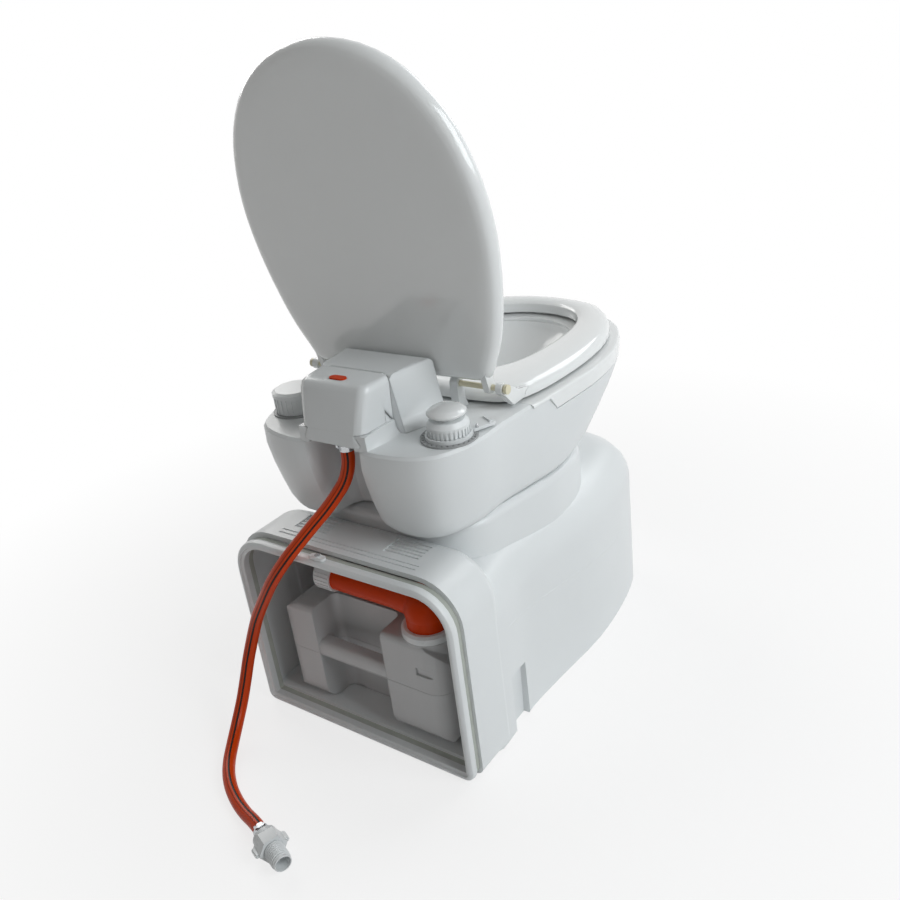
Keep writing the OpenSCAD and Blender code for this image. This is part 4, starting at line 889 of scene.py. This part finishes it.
def block(low, high, edge):
    """Points and faces of a block with rounded edges."""
    bm = bmesh.new()
    bmesh.ops.create_cube(bm, size=1)
    for v in bm.verts:
        v.co = Vector([low[i] if v.co[i] < 0 else high[i] for i in range(3)])
    bmesh.ops.bevel(bm, geom=bm.edges[:], offset=edge, segments=2, affect="EDGES")
    return emptied(bm)


def joined(*parts):
    """The points and faces of several parts as one."""
    points, faces = [], []
    for some, these in parts:
        base = len(points)
        points += some
        faces += [tuple(i + base for i in f) for f in these]
    return points, faces


def moved(part, offset):
    """A part's points and faces, moved."""
    points, faces = part
    return [tuple(Vector(p) + Vector(offset)) for p in points], faces


def turned(part, axis, angle):
    """A part's points and faces, turned round an axis."""
    points, faces = part
    turn = Matrix.Rotation(angle, 4, axis)
    return [tuple(turn @ Vector(p)) for p in points], faces


# A clamp in millimetres: the band's inner radius, its width and height over the hose, its bite
# slots, and the radii, length and heads of its screw
BAND_R, BAND_W, BAND_SIDES = 9.12, 9, 56
BAND_PROFILE = [
    (0, 0.2), (0.9, 0), (1.25, 0.5), (0.9, 1.2), (0.9, 7.8), (1.25, 8.5), (0.9, BAND_W), (0, 8.8)
]
SLOTS, SLOTS_FROM, SLOT_STEP = 9, 28, 7
SCREW_R, SCREW_LENGTH = 1.9, 11.5
HEAD_PROFILE = [(0.01, 0), (2.9, 0), (3.1, 0.5), (3.1, 2.6), (2.7, 3.0), (0.01, 3.0)]


def clamp_parts(side):
    """A worm clamp: a rolled band with bite slots, its housing and the screw through it."""
    r = BAND_R
    band = rings([(r + out, z) for out, z in BAND_PROFILE], BAND_SIDES)
    slots = []
    for k in range(SLOTS):
        slot = block((r + 0.85, -0.35, 1.9), (r + 1.2, 0.35, 7.1), 0.12)
        half_turn = math.pi if side < 0 else 0
        angle = math.radians(side * SLOTS_FROM + k * SLOT_STEP) + half_turn
        slots.append(turned(slot, "Z", angle))
    low, high = (r + 1, r + 5) if side > 0 else (-r - 5, -r - 1)
    housing = block((low, -3.8, 0.4), (high, 3.8, 8.6), 0.9)
    across, middle = math.radians(90), (low + high) / 2
    rod = [(0.01, 0), (SCREW_R, 0), (SCREW_R, SCREW_LENGTH), (0.01, SCREW_LENGTH)]
    screw = turned(rings(rod, 14, False), "X", across)
    head = turned(rings(HEAD_PROFILE, 6, False), "X", across)
    return joined(
        band, *slots, housing, moved(screw, (middle, 5.5, BAND_W / 2)),
        moved(head, (middle, -5.2, BAND_W / 2)),
    )


# How far the thread stands out of its root and where it ends, with the steepness of its flanks
# and the factor that flattens its crest
THREAD_DEPTH, THREAD_END, FLANK, FLAT_CREST = 1.35, 55.2, 3.2, 1.6


def make_connector(scene):
    """The connector: a stub for the hose, a collar and a tube with a male thread."""
    pitch = scene.toilet_sizes.thread_pitch / MM
    low, high, root = NUT_Z + NUT_H - 1, THREAD_END, THREAD_R - 1.5

    def thread(r, z, a):
        if r != root:
            return r
        turn = (z / pitch - a / (2 * math.pi)) % 1
        crest = max(0.0, 1 - abs(turn - 0.5) * FLANK)
        fade = min(1.0, (high - 1.5 - z) / 4, (z - low + 2) / 2)
        return root + THREAD_DEPTH * min(1.0, crest * FLAT_CREST) * max(0.0, fade)

    steps = round((high - low) / (pitch / 10))
    collar = [(15.2, 0.01), (16.2, 0.8), (16.2, 6.8), (15.4, 7.7), (12.4, 7.71), (12.4, low - 0.5)]
    threaded = [(root, low + (high - low) * i / steps) for i in range(steps + 1)]
    inside = [(10.2, 56.01), (9.8, 55.4), (9.8, 13.5), (9.0, 12.6), (5.2, 12.5)]
    profile = [
        (5.2, -12.5), (5.8, -12.5), (5.8, 0), *collar, *threaded, (root - 0.6, 56), *inside
    ]
    points, faces = rings(profile, 72, True, thread)
    connector = piece_from(
        "threaded_connector", at_hose_end(points), faces, "fine", "unit", 38
    )
    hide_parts("hose_connector")


def make_fittings(scene):
    """The two clamps, the threaded connector and its winged nut at the end of the hose."""
    for name, node, lay, side in (
        ("upper_clamp", "spigot_clamp", at_exit, 1),
        ("lower_clamp", "connector_clamp", near_hose_end, -1),
    ):
        points, faces = clamp_parts(side)
        clamp = piece_from(name, lay(points), faces, "steel", "unit", 35)
        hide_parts(node)
    make_connector(scene)
    make_nut()


# The nut in millimetres: half its width over the thread, the gap round the thread, the rounding
# of its corners, and a wing's half thickness, half reach, distance and rounding
NUT_WALL, NUT_GAP, NUT_EDGE, BORE_SIDES = 4.2, 0.05, 1.0, 48
WING_T, WING_REACH, WING_EDGE = 2.9, 5, 1.4


def nut_body():
    """Points and faces of the hexagonal nut with its round bore and rounded edges."""
    bm = bmesh.new()
    corner = (THREAD_R + NUT_WALL) / math.cos(math.radians(30))
    turns = [math.radians(60 * k + 30) for k in range(6)]
    hexagon = [(corner * math.cos(a), corner * math.sin(a)) for a in turns]
    rows = []
    for shrink, z in ((0.95, 0), (1.0, 1.2), (1.0, NUT_H - 1.2), (0.95, NUT_H)):
        rows.append([bm.verts.new((x * shrink, y * shrink, z + NUT_Z)) for x, y in hexagon])
    bore, count = THREAD_R + NUT_GAP, BORE_SIDES
    inner = [[
        bm.verts.new(on_circle(bore, 2 * math.pi * k / count, z)) for k in range(count)
    ] for z in (NUT_Z, NUT_Z + NUT_H)]
    for a, b in zip(rows, rows[1:]):
        for k in range(6):
            bm.faces.new((a[k], a[(k + 1) % 6], b[(k + 1) % 6], b[k]))
    low, high = inner
    for k in range(count):
        n = (k + 1) % count
        bm.faces.new((high[k], high[n], low[n], low[k]))
    step = count // 6
    for outer, ring, flip in ((rows[0], low, True), (rows[-1], high, False)):
        for k in range(6):
            arc = [ring[(k * step + j) % count] for j in range(step + 1)]
            face = [outer[k], outer[(k + 1) % 6]] + arc[::-1]
            bm.faces.new(face[::-1] if flip else face)
    outside = sum(rows, [])
    edges = [
        e for e in bm.edges if len(e.link_faces) == 2 and e.calc_face_angle() > 0.6
        and all(v in outside for v in e.verts)
    ]
    bmesh.ops.bevel(bm, geom=edges, offset=NUT_EDGE, segments=3, affect="EDGES")
    return emptied(bm)


def make_nut():
    """The nut with two grip wings, rounded where fingers hold it."""
    wings = []
    for side in (-1, 1):
        middle = side * (THREAD_R + WING_REACH)
        wings.append(block(
            (-WING_T, middle - WING_REACH, NUT_Z + 2),
            (WING_T, middle + WING_REACH, NUT_Z + NUT_H - 2), WING_EDGE,
        ))
    points, faces = joined(nut_body(), *wings)
    nut = piece_from("winged_nut", at_hose_end(points), faces, "fine", "unit", 40)
    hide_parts("connector_nut")


def place_camera(scene):
    """The camera where the photograph's camera stood, with its turn and its focal length."""
    s = scene.toilet_studio
    yaw, pitch, roll = s.camera_yaw, s.camera_pitch, s.camera_roll
    back = Vector((
        math.sin(yaw) * math.cos(pitch), -math.cos(yaw) * math.cos(pitch), math.sin(pitch)
    ))
    level = (-back).cross(Vector((0, 0, 1))).normalized()
    upright = level.cross(-back)
    right = math.cos(roll) * level + math.sin(roll) * upright
    up = -math.sin(roll) * level + math.cos(roll) * upright
    data = bpy.data.cameras.new("photo_camera")
    data.sensor_width = 36.0
    data.lens = s.focal_pixels * data.sensor_width / IMAGE_SIDE
    data.clip_start, data.clip_end = 0.05, 50
    camera = bpy.data.objects.new("photo_camera", data)
    scene.collection.objects.link(camera)
    turn = Matrix((right, up, back)).transposed().to_4x4()
    camera.matrix_world = Matrix.Translation(Vector(s.camera_place)) @ turn
    scene.camera = camera


def add_lamp(name, place, target, side, power, colour):
    """A soft square lamp that looks at a place."""
    data = bpy.data.lights.new(name, "AREA")
    data.shape = "SQUARE"
    data.size = side
    data.energy = power
    data.color = colour
    lamp = bpy.data.objects.new(name, data)
    bpy.context.scene.collection.objects.link(lamp)
    lamp.location = place
    lamp.rotation_mode = "QUATERNION"
    lamp.rotation_quaternion = (Vector(target) - Vector(place)).to_track_quat("-Z", "Y")


def seen_directly(f):
    """One where the ray comes from the camera, a mirror or glass."""
    rays = [f.node("ShaderNodeLightPath", output=n) for n in (
        "Is Camera Ray", "Is Glossy Ray", "Is Transmission Ray"
    )]
    return f.sum("MINIMUM", rays[0] + rays[1] + rays[2], 1.0)


def make_world(scene):
    """Light from all round, behind which the camera sees white."""
    world = bpy.data.worlds.new("studio")
    world.use_nodes = True
    scene.world = world
    f = Nodes(world.node_tree)
    plain = f.node("ShaderNodeBackground", None, {
        "Color": (1.0, 0.985, 0.955), "Strength": scene.toilet_studio.world_level
    })
    white = f.node("ShaderNodeBackground", None, {"Color": (1.0, 1.0, 1.0), "Strength": 1.0})
    both = f.node("ShaderNodeMixShader", None, {0: seen_directly(f), 1: plain, 2: white})
    f.node("ShaderNodeOutputWorld", None, {"Surface": both})


def make_floor(scene):
    """A wide pale floor, whose colour fades to the backdrop's white and keeps the shadow."""
    reach = 30.0
    mesh = bpy.data.meshes.new("floor")
    corners = [(-reach, -reach, 0), (reach, -reach, 0), (reach, reach, 0), (-reach, reach, 0)]
    mesh.from_pydata(corners, [], [(0, 1, 2, 3)])
    floor = bpy.data.objects.new("floor", mesh)
    scene.collection.objects.link(floor)
    f = Finish("pale_floor")
    f.tree.nodes.remove(f.surface)
    level = f.noise(3.0, 3.0)
    pale = scene.toilet_studio.floor_colour
    matt = f.node("ShaderNodeBsdfDiffuse", None, {"Color": f.mix(level, shade(pale, 0.985), pale)})
    glow = f.node("ShaderNodeEmission", None, {"Color": (1.0, 1.0, 1.0), "Strength": 1.0})
    away = f.node("ShaderNodeVectorMath", {"operation": "LENGTH"}, {0: f.place()}, 1)
    share = seen_directly(f) * f.ramp(away * 0.5, [(0.22, 0.74), (0.6, 1.0)])
    both = f.node("ShaderNodeMixShader", None, {0: share, 1: matt, 2: glow})
    f.plug(f.end.inputs["Surface"], both)
    mesh.materials.append(f.material)


# Operators, one for each piece or group of like pieces, and one for the stage


class TOILET_OT_studio(bpy.types.Operator):
    """Place the camera, the lamps, the world and the floor"""

    bl_idname = "toilet.studio"
    bl_label = "Studio"

    def execute(self, context):
        scene = context.scene
        scene.view_settings.view_transform = "Standard"
        place_camera(scene)
        make_world(scene)
        make_floor(scene)
        s = scene.toilet_studio
        middle, lower = (0, 0, 0.5), (0, 0, 0.4)
        for name, place, target, side, power, colour in (
            ("key_lamp", (-2.4, 0.1, 1.8), lower, 1.6, s.key_power, (0.94, 0.98, 1.0)),
            ("fill_lamp", (0.2, 2.4, 2.2), middle, 1.8, s.fill_power, (1.0, 0.97, 0.92)),
            ("front_lamp", (-0.7, -2.1, 2.3), middle, 1.4, s.front_power, (0.97, 0.99, 1.0)),
            ("side_lamp", (2.4, -1.0, 1.9), lower, 1.6, s.side_power, (1.0, 0.99, 0.97)),
        ):
            add_lamp(name, place, target, side, power, colour)
        return {"FINISHED"}


class TOILET_OT_finishes(bpy.types.Operator):
    """Make the finishes and put them on the parts of the CAD model"""

    bl_idname = "toilet.finishes"
    bl_label = "Finishes"

    def execute(self, context):
        make_finishes(context.scene)
        for finish, names in NODE_FINISH.items():
            for name in names:
                part = frame["nodes"][name]
                part.data.materials.clear()
                part.data.materials.append(FINISHES[finish])
                smoothed(part, SMOOTH_BELOW.get(name, SMOOTH_ELSE))
        return {"FINISHED"}


class TOILET_OT_tank(bpy.types.Operator):
    """Make the blown tank with its soft corners"""

    bl_idname = "toilet.tank"
    bl_label = "Waste tank"

    def execute(self, context):
        tank = softened("waste_tank", "blown_waste_tank", "tank", radius=0.006)
        return {"FINISHED"}


class TOILET_OT_lobes(bpy.types.Operator):
    """Make the flush tank's housing and the service box with its cheeks"""

    bl_idname = "toilet.lobes"
    bl_label = "Flush tank housing"

    def execute(self, context):
        make_box()
        make_cheeks()
        return {"FINISHED"}


class TOILET_OT_seams(bpy.types.Operator):
    """Make the parting lines that the moulds left"""

    bl_idname = "toilet.seams"
    bl_label = "Parting lines"

    def execute(self, context):
        tank_line = make_seam(
            "tank_parting_line", "waste_tank", "tank", 111, 0, (-200, -300), (200, 320)
        )
        base_line = make_seam(
            "base_parting_line", "base_housing", "base", 154, 0.116, (-210, -150), (-150, 200)
        )
        return {"FINISHED"}


class TOILET_OT_hose(bpy.types.Operator):
    """Make the water hose along its route"""

    bl_idname = "toilet.hose"
    bl_label = "Water hose"

    def execute(self, context):
        make_hose(context.scene)
        return {"FINISHED"}


class TOILET_OT_fittings(bpy.types.Operator):
    """Make the hose's clamps, its threaded connector and the winged nut"""

    bl_idname = "toilet.fittings"
    bl_label = "Hose fittings"

    def execute(self, context):
        make_fittings(context.scene)
        return {"FINISHED"}


class TOILET_PT_panel(bpy.types.Panel):
    """Steps and settings of the toilet"""

    bl_idname = "TOILET_PT_panel"
    bl_label = "Portable toilet"
    bl_space_type = "VIEW_3D"
    bl_region_type = "UI"
    bl_category = "Toilet"

    def draw(self, context):
        for step in STEPS:
            self.layout.operator(step.bl_idname)
        for name in GROUPS:
            group, box = getattr(context.scene, name), self.layout.box()
            for key in group.__annotations__:
                box.prop(group, key)


STEPS = (
    TOILET_OT_studio, TOILET_OT_finishes, TOILET_OT_fittings, TOILET_OT_hose, TOILET_OT_tank,
    TOILET_OT_lobes, TOILET_OT_seams,
)
GROUPS = {
    "toilet_colours": ToiletColours, "toilet_sizes": ToiletSizes, "toilet_studio": ToiletStudio,
}


def register():
    """Registers the classes and gives the scene its settings."""
    for kind in (*GROUPS.values(), *STEPS, TOILET_PT_panel):
        bpy.utils.register_class(kind)
    for name, group in GROUPS.items():
        setattr(bpy.types.Scene, name, bpy.props.PointerProperty(type=group))


def unregister():
    """Takes the settings and the classes away again."""
    for name in GROUPS:
        delattr(bpy.types.Scene, name)
    for kind in (TOILET_PT_panel, *reversed(STEPS), *GROUPS.values()):
        bpy.utils.unregister_class(kind)


def main():
    register()
    for step in STEPS:
        family, action = step.bl_idname.split(".")
        getattr(getattr(bpy.ops, family), action)()


if __name__ == "__main__":
    main()
